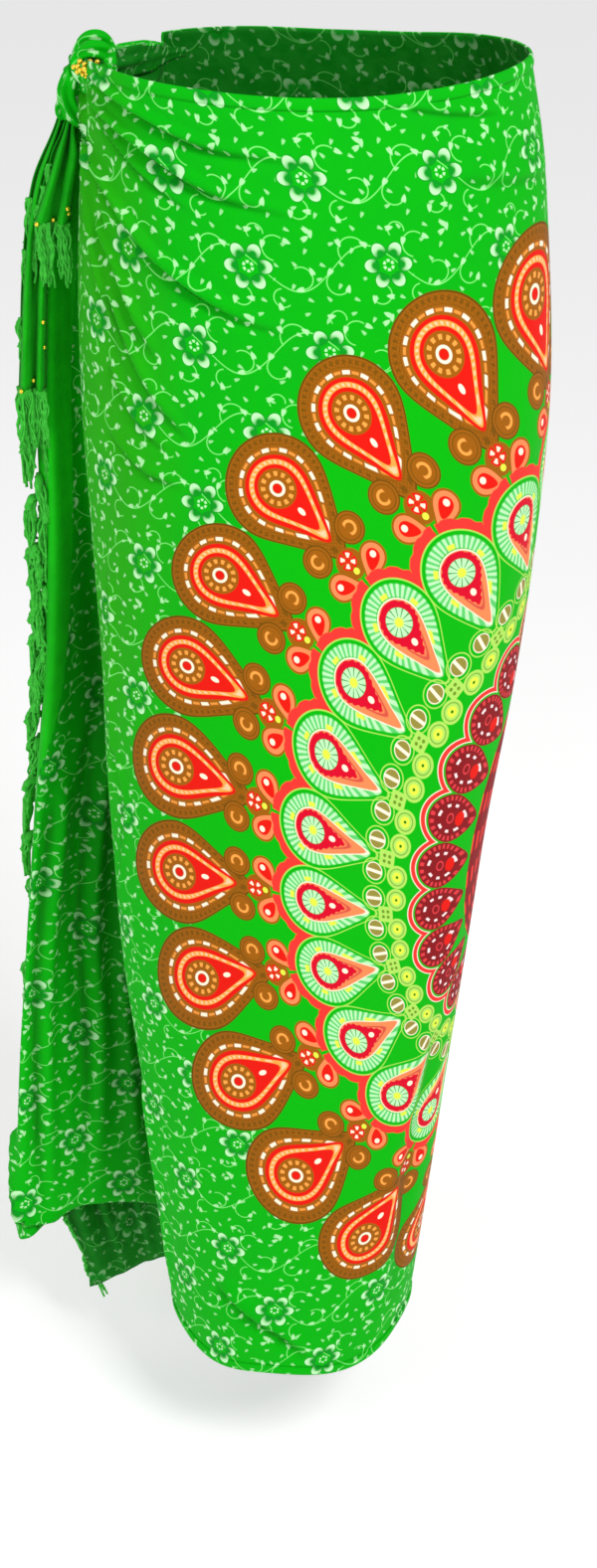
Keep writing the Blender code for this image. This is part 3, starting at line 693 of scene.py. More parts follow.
def draw_outer_drop(paint, x, y):
    """The brown drop: ticked border, dashes, a red drop inside a rope line and a dotted disc."""
    body = drop(x, y, 0.037, 0.0345, 0.058, 1.5)
    turn = (x * 0.95).math("ARCTAN2", y)
    paint.over(body.below(1.0, 0.012), TICK)
    paint.over(body.below(0.965, 0.012), OLIVE)
    hatch = (x.sine(2100.0) * y.sine(2100.0)).above(0.0, 0.7)
    paint.over(body.between(0.78, 0.95, 0.02) * hatch * 0.35, TICK)
    ticks = turn.sine(46.0).above(0.1, 0.5)
    paint.over(body.between(0.84, 0.92, 0.02) * ticks * 0.65, TICK)
    paint.over(body.between(0.775, 0.79, 0.015) * 0.5, TICK)
    dashes = turn.sine(13.0).above(0.25, 0.3)
    paint.over(body.between(0.665, 0.735, 0.02) * dashes, CREAM)
    paint.over(body.between(0.675, 0.725, 0.02) * turn.sine(13.0).below(-0.35, 0.3) * 0.75, ROPE)

    paint.over(drop(x, y, 0.0224, 0.0213, 0.0455, 1.5).below(1.0, 0.03), RED)
    inner = drop(x, y, 0.0176, 0.0172, 0.0395, 1.6)
    braid = (turn * 30.0 + inner * 14.0).sine().above(0.0, 0.8) * 0.45
    paint.over(inner.between(0.9, 1.09, 0.03), ROPE)
    paint.over(inner.between(0.94, 1.05, 0.03) * braid, CREAM)
    paint.over(inner.below(0.88, 0.03), RED)

    radius = hypot(x, y)
    paint.over(radius.below(0.013, 0.0008), OLIVE)
    spots = abs(turn.sine(6.0)).above(0.72, 0.25)
    paint.over(radius.between(0.0082, 0.0112) * spots, ROPE)
    paint.over(radius.between(0.0034, 0.0053), CREAM)
    paint.over(radius.below(0.003), RED)
    dash = hypot(x * 1.7, y + 0.0205).below(0.003, 0.0006)
    return paint.over(dash, CREAM)


def draw_between(paint, x, r):
    """What lies between the outer and the second ring: circles, a flower and a pair of paisleys."""
    near = abs(x)
    circle = hypot(near - 0.0165, r - 0.289)
    paint.over(circle.below(0.0104), TICK)
    paint.over(circle.below(0.0096), OLIVE)
    paint.over(circle.between(0.0074, 0.008) * 0.8, TICK)
    curl = circle.between(0.003, 0.0048) * (near - 0.0165).above(-0.0022, 0.001)
    paint.over(curl, ROPE)
    paint.over(hypot(x, r - 0.274).below(0.01, 0.001), OLIVE)
    blossom = hypot(x, r - 0.2765)
    petals = abs(x.math("ARCTAN2", r - 0.2765).sine(2.0))
    paint.over(blossom.below(0.0062) * petals.above(0.2, 0.3), RED)
    paint.over(blossom.between(0.002, 0.005) * petals.above(0.8, 0.2), CREAM)
    paint.over(hypot(x, r - 0.2685).below(0.0021), YELLOW)

    px, py = turned_about(near, r, 0.0155, 0.268, -53)
    paisley = drop(px, py, 0.0092, 0.0092, 0.0185, 1.6)
    paint.over(paisley.below(1.0, 0.05), OLIVE)
    paint.over(paisley.below(0.84, 0.05), SALMON)
    paint.over(paisley.below(0.5, 0.05), RED)
    return paint.over(hypot(px, py - 0.001).below(0.0021), CREAM)


def draw_second_drop(paint, x, y):
    """The green drop with its ticked fringe, a crimson drop and a daisy, and the wings at its round end."""
    body = drop(x, y, 0.0252, 0.0255, 0.049, 1.5)
    turn = x.math("ARCTAN2", y)
    wings = body.between(1.04, 1.3, 0.03) * y.above(-0.001, 0.003) * abs(x).above(0.0012, 0.0008)
    scallop = turn.sine(16.0)
    paint.over(wings * (body + scallop * 0.04).below(1.3, 0.04), CORAL)
    paint.over(body.between(1.0, 1.04, 0.015) * 0.9, LIME)
    paint.over(body.below(1.0, 0.02), GREEN)
    ticks = turn.sine(36.0).above(0.0, 0.9)
    fringe = body.between(0.6, 0.9, 0.04)
    paint.over(fringe, MINT)
    paint.over(fringe * ticks, PALE)
    patches = turn.sine(5.0, 0.8).above(0.72, 0.2)
    paint.over(body.between(0.6, 0.72, 0.03) * patches, YELLOW)

    inner = drop(x, y, 0.0148, 0.0145, 0.044, 2.0)
    paint.over(inner.below(1.0, 0.04), CREAM)
    paint.over(inner.below(0.94, 0.04), SALMON)
    waves = y.sine(1500.0) * 0.0005
    paint.over(inner.between(0.6, 0.68, 0.04) * y.below(-0.014, 0.003) * 0.8, BRICK)
    heart = drop(x + waves, y, 0.013, 0.0132, 0.025, 2.0)
    paint.over(heart.below(1.0, 0.05), CRIMSON)
    radius = hypot(x, y)
    rays = abs(turn.sine(6.0)).above(0.35, 0.4)
    paint.over(radius.below(0.009), SAGE)
    paint.over(radius.below(0.0088) * rays, PALE)
    paint.over(radius.below(0.003, 0.001), YELLOW)
    return paint.over(hypot(x * 1.3, y + 0.015).below(0.0025), CREAM)


def draw_inner(paint, x, r):
    """The inner rings: circles, squares, ovals, maroon drops with a crescent each, and the middle."""
    near = abs(x)
    circle = hypot(near - 0.0108, r - 0.181)
    paint.over(circle.between(0.0082, 0.009), LIME)
    paint.over(circle.below(0.0062), CREAM)
    paint.over(circle.below(0.0055) * abs(near - 0.0108).above(0.0011), KHAKI)
    square = near.math("MAXIMUM", abs(r - 0.1725))
    paint.over(square.below(0.0056), LIME)
    paint.over(hypot(near - 0.0019, abs(r - 0.1725) - 0.0019).below(0.0012), MOSS)
    oval = hypot(near - 0.0105, r - 0.1635)
    paint.over(oval.below(0.0078), LIME)
    paint.over(oval.between(0.0052, 0.006) * 0.6, DEEP)
    paint.over(oval.below(0.0035, 0.001), YELLOW)
    paint.over(oval.below(0.001), DEEP)

    y = r - INNER_RING
    body = drop(x, y, 0.0144, 0.0185, 0.027, 0.8)
    turn = x.math("ARCTAN2", y)
    paint.over(body.between(1.08, 1.34, 0.03) * y.above(0.004, 0.002), CREAM)
    paint.over(body.between(1.12, 1.3, 0.03) * y.above(0.005, 0.002), CORAL)
    paint.over(body.below(1.0, 0.03), MAROON)
    paint.over(body.between(0.74, 0.93, 0.03) * turn.sine(20.0).above(0.0, 0.6), ROSE)
    dashes = turn.sine(7.0).above(0.3, 0.3)
    paint.over(body.between(0.48, 0.6, 0.03) * dashes, BLUSH)
    paint.over(hypot(x, y + 0.009).below(0.0042, 0.001), RED)
    paint.over(hypot(x, y).between(0.0022, 0.0032), ROSE)
    middle = r.below(0.1)
    paint.over(middle, MAROON)
    return paint.over(middle * r.sine(900.0).above(0.2, 0.5) * turn.sine(9.0).above(0.0, 0.5), CORAL)


def place_in(uv_map):
    node = new_node("UVMap")
    node.uv_map = uv_map
    split = new_node("SeparateXYZ")
    link(node.outputs[0], split.inputs[0])
    return node.outputs[0], Field(split.outputs[0]), Field(split.outputs[1])


def new_material(name):
    made = bpy.data.materials.new(name)
    made.use_nodes = True
    Field.tree = made.node_tree
    return made, made.node_tree.nodes["Principled BSDF"]


def set_inputs(node, values):
    for name, value in values.items():
        node.inputs[name].default_value = value


def noise(place, scale, detail=2.0, roughness=0.5):
    node = new_node("TexNoise")
    set_inputs(node, {"Scale": scale, "Detail": detail, "Roughness": roughness})
    link(place, node.inputs["Vector"])
    return Field(node.outputs[0])


def paint_shade_and_finish(shader, paint, place, u, v):
    """Painted shade in creases, a soft matt finish, and the weave, finer than a millimetre, over soft
    crumples.
    """
    paint_crease_shade(paint)
    link(paint.colour, shader.inputs["Base Color"])
    set_inputs(shader, CLOTH_FINISH)
    weave = u.sine(2 * math.pi / WEAVE) * v.sine(2 * math.pi / WEAVE) * WEAVE_HEIGHT
    crumple = noise(place, 55.0, 3.0, 0.55) * 0.0016 + noise(place, 16.0, 2.0) * 0.003
    bump = new_node("Bump")
    set_inputs(bump, {"Strength": 0.5, "Distance": 1.0})
    link((weave + crumple).socket, bump.inputs["Height"])
    link(bump.outputs[0], shader.inputs["Normal"])


def printed_cloth(name):
    """The right side: vines and flowers on green, and the round medallion over them."""
    made, shader = new_material(name)
    place, u, v = place_in("Cloth")
    paint = Paint(GREEN)
    mottle = noise(place, 26.0, 3.0, 0.6).above(0.45, 0.5)
    paint.over(mottle * 0.28, SHADE)
    # Painted shade with a warm reflected tint on a strip of the cloth near the front panel's fold, in its
    # upper half.
    paint.over(u.above(0.31, 0.06) * v.above(-0.46, 0.2) * u.below(0.42, 0.02) * 0.3, FOLD_SHADE_AND_REFLECTION)
    draw_flowers(paint, u, v)

    _, across, up = place_in("Medallion")
    radius, turn = hypot(across, up), up.math("ARCTAN2", across)
    step = 2 * math.pi / REPEATS
    local = turn.math("WRAP", step / 2, -step / 2)
    x, r = radius * local.math("SINE"), radius * local.math("COSINE")
    # The outer drops reach past the plain ground, so it stops at their middles.
    paint.over(radius.below(OUTER_RING - 0.004, 0.002), GREEN)
    draw_outer_drop(paint, x, r - OUTER_RING)
    draw_between(paint, x, r)
    draw_second_drop(paint, x, r - SECOND_RING)
    draw_inner(paint, x, r)
    paint_shade_and_finish(shader, paint, place, u, v)
    return made


def paint_crease_shade(paint):
    """Paints shade: multiplies the colour down by the shade painted into the mesh's crease attribute, deepest
    where a crease is deep.
    """
    node = new_node("Attribute")
    node.attribute_name = "crease"
    mix = new_node("Mix")
    mix.data_type, mix.blend_type = "RGBA", "MULTIPLY"
    link((Field(node.outputs["Fac"]) * CREASE_SHADE).socket, mix.inputs[0])
    link(paint.colour, mix.inputs[6])
    mix.inputs[7].default_value = (*CREASE_SHADE_TONE, 1.0)
    paint.colour = mix.outputs[2]


def reverse_cloth(name):
    """The wrong side: a darker green, with a ghost of the flowers."""
    made, shader = new_material(name)
    place, u, v = place_in("Cloth")
    paint = draw_flowers(Paint(WRONG_SIDE), u, v)
    paint.over(noise(place, 9.0).above(0.2, 0.2) * 0.66, WRONG_SIDE)
    paint.over(noise(place, 90.0).above(0.5, 0.2) * 0.1, WRONG_PALE)
    paint_shade_and_finish(shader, paint, place, u, v)
    return made


def plain_cloth(name, colour, other, scale=40.0):
    """Unprinted cloth or thread in one colour, with slight unevenness."""
    made, shader = new_material(name)
    place, u, v = place_in("Cloth")
    paint = Paint(colour).over(noise(place, scale, 3.0, 0.6).above(0.42, 0.4) * 0.6, other)
    paint_shade_and_finish(shader, paint, place, u, v)
    return made


def metal(name, colour):
    made, shader = new_material(name)
    set_inputs(shader, {"Base Color": (*colour, 1.0), "Metallic": 1.0, "Roughness": 0.28})
    return made


def matte(name, colour, glow):
    made, shader = new_material(name)
    set_inputs(shader, {"Base Color": (*colour, 1.0), "Roughness": 0.9})
    set_inputs(shader, {"Emission Color": (*colour, 1.0), "Emission Strength": glow})
    return made


# Pieces.

DOWN = np.array((0.0, 0.0, -1.0))
LOWEST = -0.985  # no thread hangs below this
# Fringe: spacing of the tufts, their length, how far they stand out, radius of a head, threads in each,
# and the angles off straight out at which neighbours leave the edge.
EDGE_FRINGE = {"spacing": 0.0165, "length": 0.05, "out": 0.01, "head": 0.0025, "threads": 14,
               "turns": (1.0, 2.4, 1.6, 2.9, 0.3, 2.0)}  # fmt: skip
BACK_FRINGE = {"spacing": 0.02, "length": 0.052, "out": 0.007, "head": 0.0014, "threads": 9,
               "turns": (-1.7, -2.0)}  # fmt: skip
HEAD_COURSE = ((0.0, -0.001), (0.35, -0.0012), (0.8, 0.0), (1.0, 0.006))  # share of its reach, and fall
LENGTHS = (0.4, 0.6, 0.9, 1.4)  # shares of its length that a tuft may have
THREAD, TAIL_THREAD = 0.001, 0.0008  # radii of a thread at the edges and on the tails
TAILS = {
    # middle line, half width and half depth at its start and at its end
    "tail_front": (
        ((-0.1345, 0.0, -0.0404), (-0.139, -0.005, -0.062), (-0.144, -0.009, -0.082),
         (-0.1475, -0.011, -0.098)),
        (0.0062, 0.0112),
        (0.0028, 0.0042),
    ),
    "tail_back": (
        ((-0.1395, 0.0055, -0.0404), (-0.153, -0.0005, -0.08), (-0.16, -0.0035, -0.13),
         (-0.165, -0.006, -0.203)),
        (0.0055, 0.0085),
        (0.0026, 0.004),
    ),
}
TAIL_COLUMNS = 41
LOOPS = (
    # middle, half width, half height, radius of the cloth
    ((-0.119, -0.006, -0.0075), 0.009, 0.0088, 0.0048),
    ((-0.119, 0.003, -0.004), 0.0084, 0.01, 0.0044),
)
KNOT_FOOT = np.array((-0.131, 0.004, -0.034))  # where the loose ends leave the knot
BIGHT = (
    (-0.124, 0.004, -0.01),
    (-0.13, -0.004, -0.013),
    (-0.1335, -0.008, -0.025),
    (-0.127, -0.004, -0.038),
    (-0.1215, 0.004, -0.031),
)
STEM = ((-0.128, 0.01, -0.018), (-0.134, 0.006, -0.028), (-0.137, 0.003, -0.035), (-0.137, 0.003, -0.04))
ROLL = 0.0058  # radius of the rolled cloth in the bight and the stem
NECK_SIDES = 40
FAN_WIDTH, FAN_WAVES, FAN_DEPTH = 0.94, 9, 0.0016  # share of the way to the knot, half waves and their height
BEAD = 0.0016
CLUSTER = (-0.1205, -0.0345, -0.005)  # middle of the beads on the knot
CLUSTER_BEADS, CLUSTER_TURN = 18, 2.4
BACK_GATHERS = -0.074  # the lowest of the gathers beside the back panel
TAIL_BEADS = ((-1, 6), (-6, 38), (-9, 37), (-2, 22))  # rows and columns of a tail


def front_angle(share):
    return SEAM_ANGLE + (math.pi - SEAM_ANGLE) * share


def back_angle(share):
    return SEAM_ANGLE - (math.pi + SEAM_ANGLE) * share


def worn(grid, cloth, creases):
    """The grid with its creases raised, and the cloth's places with the painted shade of the creases added.
    """
    lift, dark = creased(cloth, creases)
    return grid + normals_of(grid) * lift[:, :, None], np.concatenate([cloth, dark[:, :, None]], axis=2)


def paint_valley_shade(grid, cloth, front):
    """Paints shade on the loose end where it lies deep beside the front panel's fold."""
    edge = np.interp(grid[:, :, 2], front[::-1, 0, 2], front[::-1, :, 0].min(axis=1))
    beside = np.maximum(edge - grid[:, :, 0], 0.0)
    low = ease((-grid[:, :, 2] - VALLEY_TOP) / VALLEY_COMES)
    depth = VALLEY_SHADE * np.exp(-((beside / VALLEY_WIDTH) ** 2)) * low
    cloth[:, :, 2] = np.maximum(cloth[:, :, 2], depth)


def strands(build, place, out, down, length, count, spread, radius, rng):
    """Threads from one place that leave the edge, bend over and hang with slight waves."""
    side = np.cross(down, out)
    bend = rng.uniform(-0.9, 0.9)
    for _ in range(count):
        lean, apart = rng.uniform(-1, 1), rng.uniform(0.4, 1.3)
        long = length * rng.uniform(0.6, 1.1)
        wave, phase = rng.uniform(0.0004, 0.002), rng.uniform(0, 6.28)
        path = []
        for t in np.linspace(0, 1, 9):
            push = spread * apart * ease(t / 0.25) * (1 - 0.25 * t)
            sway = spread * (0.6 * lean * math.sin(3.4 * t) + bend * t) + wave * math.sin(phase + 9 * t)
            fall = long * t - 0.004 * ease(t / 0.2) * (1 - t)
            path.append(place + out * push + side * sway + down * fall)
        build.add(*tube(path, [(radius, radius)] * len(path), 4, up=(0.3, 0.9, 0.1)))


def tassel_row(build, edge, outward, kind, rng):
    """Tufts along a hanging edge, each with a small round head."""
    downward = np.gradient(edge, axis=0)
    downward /= np.linalg.norm(downward, axis=1)[:, None]
    rail = np.concatenate([edge, outward, downward], axis=1)
    total = lengths_along(edge)[-1]
    for n, share in enumerate(np.linspace(0, 1, int(total / kind["spacing"]) + 2)[1:-1]):
        row = at_shares(rail, [share + rng.uniform(-0.3, 0.3) * kind["spacing"] / total])[0]
        place, (x, y, _), down = row[:3], row[3:6], row[6:]
        turn = kind["turns"][n % len(kind["turns"])]
        c, s = math.cos(turn), math.sin(turn)
        out, reach = np.array((x * c - y * s, x * s + y * c, 0.0)), kind["out"]
        long = min(kind["length"] * rng.choice(LENGTHS), place[2] - LOWEST)
        head = [place + out * reach * t + down * fall for t, fall in HEAD_COURSE]
        head = curve_through(head, per_span=4)
        radii = [(kind["head"], kind["head"])] * len(head)
        build.add(*tube(head, radii, 8, pleats=3, depth=0.16, twist=900.0))
        strands(build, place + out * reach * 0.3, out, down, long, kind["threads"], reach * 0.62, THREAD, rng)


def fan(build, edge, cloth, apex, way, slots, rising=False):
    """Gathered cloth from an edge to the knot: from a panel's side, or rising from the top of a loose end."""
    share = np.linspace(0, FAN_WIDTH, 16)
    toward = (apex - edge)[:, None]
    grid = edge[:, None] + toward * share[:, None]
    folds = np.sin(np.linspace(0, FAN_WAVES * math.pi, len(edge)))[:, None] * np.sin(math.pi * share)
    grid += normals_of(grid) * (FAN_DEPTH * folds)[:, :, None]
    reach = np.linalg.norm(toward, axis=2) * share
    across, up = (0 * reach, reach) if rising else (way * reach, toward[:, :, 2] * share)
    # The third place is painted shade along the folds of the gathers.
    places = np.stack([cloth[:, None, 0] + across, cloth[:, None, 1] + up, 0.6 * ease(folds * way)], axis=2)
    if rising:
        grid, places = grid.transpose(1, 0, 2)[::-1], places.transpose(1, 0, 2)[::-1]
    shell(build, grid, places, CLOTH, *slots, outward=way)


def make_knot(front_edge, back_edge, fans, materials):
    """The two gathered necks, which grow out of the panels along these lines, and the knot they make."""
    build = Build()
    for edge in (front_edge, back_edge):
        path = curve_through([*edge, edge[-1] + (KNOT - edge[-1]) * 0.5, KNOT], per_span=4)
        shares = lengths_along(path) / lengths_along(path)[-1]
        radii = [(0.003 + 0.0065 * ease(2.2 * t), 0.001 + 0.0088 * ease(1.3 * t - 0.3)) for t in shares]
        points, faces, cloth = tube(path, radii, NECK_SIDES, pleats=7, depth=0.15)
        # The side that faces into the garment shows the reverse.
        inner = []
        for face in faces:
            middle, centre = np.mean([points[i] for i in face], axis=0), path[min(face) // NECK_SIDES]
            inner.append(int(np.hypot(*middle[:2]) < np.hypot(*centre[:2])))
        build.add(points, faces, cloth, inner)
    for gathers in fans:
        fan(build, *gathers)
    for middle, wide, high, radius in LOOPS:
        around = np.linspace(0, 2 * math.pi, 48, endpoint=False)
        ring = (wide * np.cos(around), 0.0015 * np.sin(3 * around), high * np.sin(around))
        path = np.array(middle) + np.stack(ring, axis=1)
        radii = [(radius, radius * (1 + 0.15 * math.sin(2 * a))) for a in around]
        build.add(*tube(path, radii, 36, pleats=5, depth=0.17, twist=60.0, closed=True, up=(0.0, 1.0, 0.0)))
    for line, up in ((BIGHT, (0.0, 0.0, 1.0)), (STEM, (0.0, 1.0, 0.0))):
        path = curve_through(line, per_span=8)
        swell = [ROLL * (0.75 + 0.3 * math.sin(math.pi * t)) for t in np.linspace(0, 1, len(path))]
        build.add(*tube(path, [(s, s) for s in swell], 40, pleats=6, depth=0.2, twist=90.0, up=up))
    return build.piece("look_knot", materials)


def make_tail(name, line, widths, depths, materials):
    """A corner of the cloth hanging from the knot, pleated across and spreading downward."""
    line = curve_through(line, 14)
    grid, cloth = np.zeros((2, len(line), TAIL_COLUMNS, 3))
    run, across = lengths_along(line), np.linspace(-1, 1, TAIL_COLUMNS)
    for r, middle in enumerate(line):
        t = r / (len(line) - 1)
        wide = 0.003 * (1 - ease(t / 0.3)) + (widths[0] + (widths[1] - widths[0]) * t) * ease(t / 0.3)
        deep = depths[0] + (depths[1] - depths[0]) * t
        waves = deep * (np.sin(math.pi * 1.9 * across + 1.2 * t) + 0.35 * np.sin(9.3 * across + 5 * t))
        grid[r] = middle + np.stack([across * wide, waves, 0 * across], axis=1)
        # Painted shade where the pleats of the tail lie back.
        dark = 0.8 * ease(0.4 + waves / deep)
        cloth[r] = np.stack([across * (0.012 + 0.03 * t), 0 * across - run[r], dark], axis=1)
    build = Build()
    shell(build, grid, cloth, THIN, 0, 0)
    return build.piece(name, materials), grid


def beads(build, places):
    """A small round bead at each place."""
    around, up = 10, 6
    rings = [(BEAD * math.sin(b), BEAD * math.cos(b)) for b in np.linspace(0.05, math.pi - 0.05, up)]
    angles = np.linspace(0, 2 * math.pi, around, endpoint=False)
    ball = np.array([(wide * math.cos(a), wide * math.sin(a), high) for wide, high in rings for a in angles])
    faces = [tuple(range(around)), tuple(range(len(ball) - around, len(ball)))[::-1]]
    for r in range(up - 1):
        here, there = r * around, (r + 1) * around
        for k in range(around):
            after = (k + 1) % around
            faces.append((here + k, there + k, there + after, here + after))
    for place in places:
        build.add(np.array(place) + ball, faces, [(0, 0)] * len(ball))


def outward_of(grid):
    out = grid[:, -1] - grid[:, -2]
    out[:, 2] = 0.0
    return out / np.linalg.norm(out, axis=1)[:, None]


def finish_piece(obj, nodes):
    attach(obj, "root")
    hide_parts(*nodes)
    return obj


def make_sheets():
    """The grid of each sheet with its creases, and the place and painted shade of each of its points."""
    front, front_cloth = sheet(
        front_path,
        lambda s: waist(front_angle(s)),
        lambda s: hem(front_angle(s)),
        np.concatenate([np.linspace(0, 0.955, 150), 0.955 + 0.045 * np.linspace(0, 1, 26)[1:]]),
        262,
        dense=0.75,
    )
    back, back_cloth = sheet(
        back_path,
        lambda s: waist(back_angle(s)),
        lambda s: hem(back_angle(s)),
        np.linspace(0, 1, 130),
        200,
        dense=0.45,
    )
    loose, loose_cloth = sheet(
        loose_path,
        lambda s: LOOSE_TOP + 0 * s,
        lambda s: LOOSE_BOTTOM - LOOSE_CORNER * ease((s - 0.5) / 0.25) - LOOSE_WAVE * np.sin(9 * s),
        np.linspace(0, 1, 90) ** 1.25,
        220,
    )
    behind, behind_cloth = sheet(
        behind_path,
        lambda s: BEHIND_TOP + 0 * s,
        lambda s: BEHIND_BOTTOM + BEHIND_SLANT * (1 - s) ** 1.5,
        np.linspace(0, 1, 60) ** 1.25,
        180,
    )
    front, back = worn(front, front_cloth, CREASES), worn(back, back_cloth, CREASES)
    loose, behind = worn(loose, loose_cloth, LOOSE_CREASES), worn(behind, behind_cloth, BEHIND_CREASES)
    # Painted shade on the loose end beside the front panel's fold.
    paint_valley_shade(*loose, front[0])
    drawn_in = BUNCH * ease((BUNCH_TOP - behind[0][:, :, 2]) / BUNCH_HEIGHT)
    behind[0][:, :, 0] += drawn_in * np.linspace(0, 1, drawn_in.shape[1])
    return front, back, loose, behind


def make_panel(name, grid, cloth, side, materials):
    """A panel with its two rolled hems."""
    build = Build()
    shell(build, grid, cloth, CLOTH, outward=side)
    hem_band(build, grid, cloth, 0, side)
    hem_band(build, grid, cloth, -1, side)
    obj = build.piece("look_" + name, materials)
    finish_piece(obj, ("wrap_" + name, "hem_top_" + name, "hem_bottom_" + name))


def make_end(name, grid, cloth, side, materials):
    """A panel's loose end, with a plain border along its fringed edge."""
    build = Build()
    shell(build, grid, cloth, CLOTH, outward=side)
    obj = finish_piece(build.piece("look_" + name, materials), (name,))
    mark_border(obj, grid, side)


def make_fringe(name, grid, kind, thread, rng):
    """The fringe of a loose end. The one behind also has its lower corner twisted into a tuft."""
    tassels = Build()
    tassel_row(tassels, grid[14:-3, -1], outward_of(grid)[14:-3], kind, rng)
    if name == "end_back":
        start = grid[-1, len(grid[-1]) // 3]
        away = ((0.0, 0.0, 0.004), (0.006, -0.004, -0.006), (0.02, -0.004, -0.004))
        twist = curve_through([start + step for step in away], 8)
        tassels.add(*tube(twist, [(0.0026, 0.0026)] * len(twist), 16, pleats=3, depth=0.2, twist=700.0))
    finish_piece(tassels.piece("look_fringe_" + name, [thread]), ("fringe_" + name,))


def gathers_to_knot(front, back, loose, behind):
    """What fan() needs for the gathers beside the two panels and above the two loose ends."""
    fans = []
    for (grid, cloth), side, lowest in ((front, 1, -KNOT_DEPTH), (back, -1, BACK_GATHERS)):
        rows = (grid[:, -1, 2] < KNOT[2]) & (grid[:, -1, 2] > lowest)
        fans.append((grid[rows, -1], cloth[rows, -1], KNOT, side, (0, 1)))
    for (grid, cloth), side in ((loose, 1), (behind, -1)):
        fans.append((grid[0, 2:-2], cloth[0, 2:-2], KNOT_FOOT, side, (2, 2), True))
    return fans


def make_tail_fringe(name, grid, thread, rng):
    """Tufts down the front of a tail and along its end."""
    tassels = Build()
    for n in range(16, len(grid) - 6, 9):
        strands(tassels, grid[n, 1], np.array((-0.5, -0.85, 0.0)), DOWN, 0.034, 7, 0.0022, TAIL_THREAD, rng)
    for n, column in enumerate(range(1, TAIL_COLUMNS, 5)):
        out = np.array((0.0, -1.0 if n % 2 else 1.0, 0.0))
        strands(tassels, grid[-1, column], out, DOWN, 0.036, 8, 0.0032, TAIL_THREAD, rng)
    finish_piece(tassels.piece("look_fringe_" + name, [thread]), ("fringe_" + name,))


def build_sarong():
    printed, reverse = printed_cloth("printed"), reverse_cloth("reverse")
    border = plain_cloth("border", tone(30, 212, 26), tone(14, 176, 18))
    dark = plain_cloth("corner", tone(28, 188, 24), tone(12, 146, 20), 60.0)
    thread = plain_cloth("thread", tone(84, 218, 76), tone(14, 140, 28), 300.0)
    rng = random.Random(7)

    front, back, loose, behind = make_sheets()
    make_panel("front", *front, 1, [printed, reverse])
    make_panel("back", *back, -1, [printed, reverse])
    make_end("end_front", *loose, 1, [printed, reverse, border])
    make_fringe("end_front", loose[0], EDGE_FRINGE, thread, rng)
    make_end("end_back", *behind, -1, [printed, reverse, border])
    make_fringe("end_back", behind[0], BACK_FRINGE, thread, rng)

    necks = []
    for (grid, _), columns in ((front, slice(-9, None, 4)), (back, slice(-10, None, 3))):
        beside = int(np.argmin(abs(grid[:, -1, 2] - KNOT[2])))
        necks.append(grid[beside, columns])
    fans = gathers_to_knot(front, back, loose, behind)
    finish_piece(make_knot(*necks, fans, [printed, reverse, border]), ("knot",))

    shine = Build()
    for name, (line, widths, depths) in TAILS.items():
        obj, grid = make_tail("look_" + name, line, widths, depths, [dark])
        finish_piece(obj, (name,))
        make_tail_fringe(name, grid, thread, rng)
        beads(shine, [grid[row, column] + (0.0, -0.002, 0.0) for row, column in TAIL_BEADS])
    turns = [(CLUSTER_TURN * n, n**0.5) for n in range(CLUSTER_BEADS)]
    spiral = [(0.0019 * math.cos(a) * r, 0.0005 * r * r, 0.0012 * math.sin(a) * r) for a, r in turns]
    beads(shine, np.array(CLUSTER) + spiral)
    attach(shine.piece("look_beads", [metal("gold", tone(255, 216, 70))]), "root")


def mark_border(obj, grid, side):
    """Gives the plain border material to the printed faces nearest the fringed edge."""
    rows, columns, _ = grid.shape
    steps = np.linalg.norm(np.diff(grid, axis=1), axis=2)
    left = np.cumsum(steps[:, ::-1], axis=1)[:, ::-1]
    wide = BORDER * (1 - BORDER_LOSS * ease((np.arange(rows) / rows - BORDER_FROM) / BORDER_OVER))
    plain = left[:-1] < wide[:-1, None]
    slots = np.zeros(len(obj.data.polygons), np.int32)
    obj.data.polygons.foreach_get("material_index", slots)
    count = (rows - 1) * (columns - 1)
    slots[:count] = np.where(plain.ravel(), 2, 0)
    obj.data.polygons.foreach_set("material_index", slots)


# Floor, lights and camera.

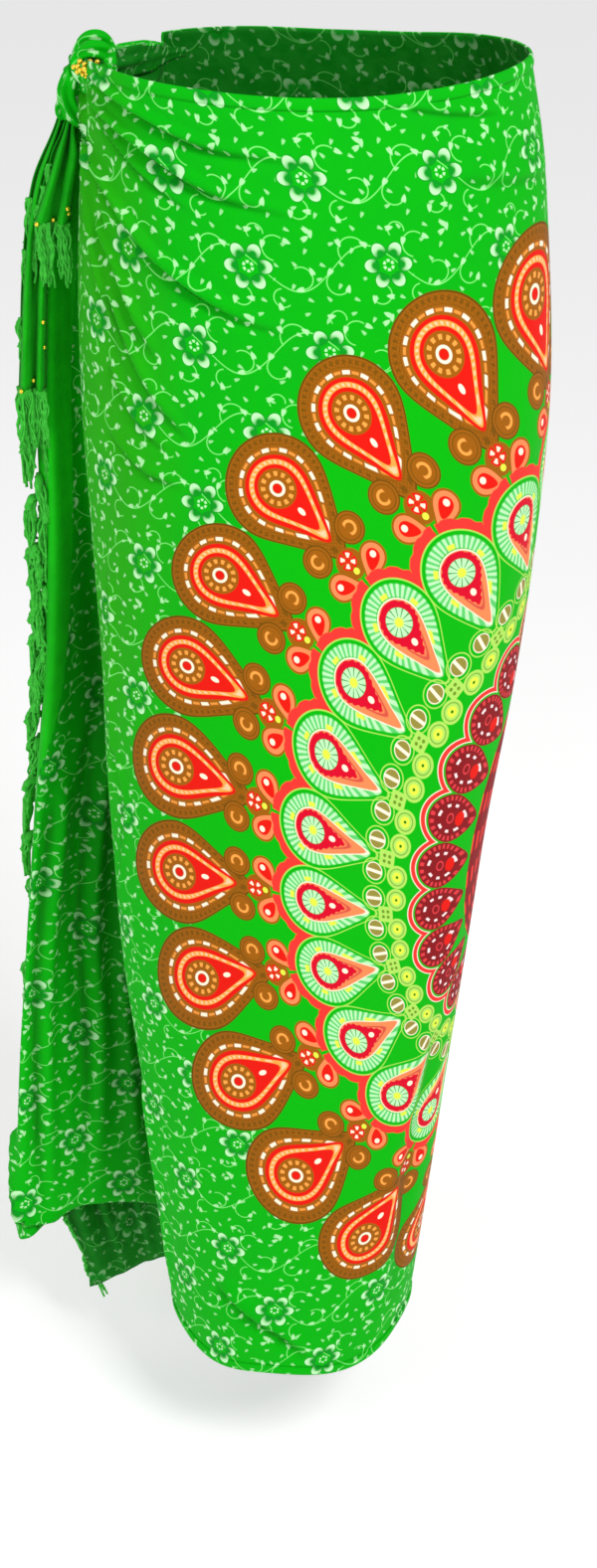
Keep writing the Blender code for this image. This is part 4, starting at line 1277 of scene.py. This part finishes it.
FLOOR, FLOOR_COLOUR, FLOOR_GLOW = -1.03, (0.88, 0.88, 0.88), 0.38
LIGHTS = (
    # name, place, aim, size, power
    ("key", (1.2, -1.7, 1.7), (0.0, 0.0, -0.4), 0.9, 50.0),
    ("fill", (-1.9, -1.4, 0.8), (0.0, 0.0, -0.5), 1.4, 17.0),
)
CAMERA_PLACE, CAMERA_TILT, CAMERA_LENS = (0.0, -1.39, 0.26), math.radians(61.86), 53.33


def floor_and_light():
    bpy.ops.mesh.primitive_plane_add(size=30, location=(0, 0, FLOOR))
    floor = bpy.context.object
    floor.name = "floor"
    floor.data.materials.append(matte("floor", FLOOR_COLOUR, FLOOR_GLOW))

    world = bpy.data.worlds.new("studio")
    world.use_nodes = True
    sky = world.node_tree.nodes["Background"]
    set_inputs(sky, {"Color": (1.0, 1.0, 1.0, 1.0), "Strength": 0.5})
    bpy.context.scene.world = world
    for name, place, aim, size, power in LIGHTS:
        light = bpy.data.lights.new(name, "AREA")
        light.size, light.energy = size, power
        lamp = bpy.data.objects.new(name, light)
        bpy.context.scene.collection.objects.link(lamp)
        lamp.location = place
        lamp.rotation_euler = (Vector(aim) - Vector(place)).to_track_quat("-Z", "Y").to_euler()


def camera():
    data = bpy.data.cameras.new("camera")
    data.lens, data.sensor_width = CAMERA_LENS, 36.0
    obj = bpy.data.objects.new("camera", data)
    bpy.context.scene.collection.objects.link(obj)
    obj.location, obj.rotation_euler = CAMERA_PLACE, (CAMERA_TILT, 0.0, 0.0)
    bpy.context.scene.camera = obj


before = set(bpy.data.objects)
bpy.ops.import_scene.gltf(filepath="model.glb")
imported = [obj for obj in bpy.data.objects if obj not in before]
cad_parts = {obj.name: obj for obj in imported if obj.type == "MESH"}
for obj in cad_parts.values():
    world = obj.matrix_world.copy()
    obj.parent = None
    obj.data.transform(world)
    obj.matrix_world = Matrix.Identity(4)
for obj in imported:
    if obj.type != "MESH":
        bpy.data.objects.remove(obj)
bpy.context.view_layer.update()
bpy.context.scene.view_settings.view_transform = "Standard"
build_sarong()
floor_and_light()
camera()
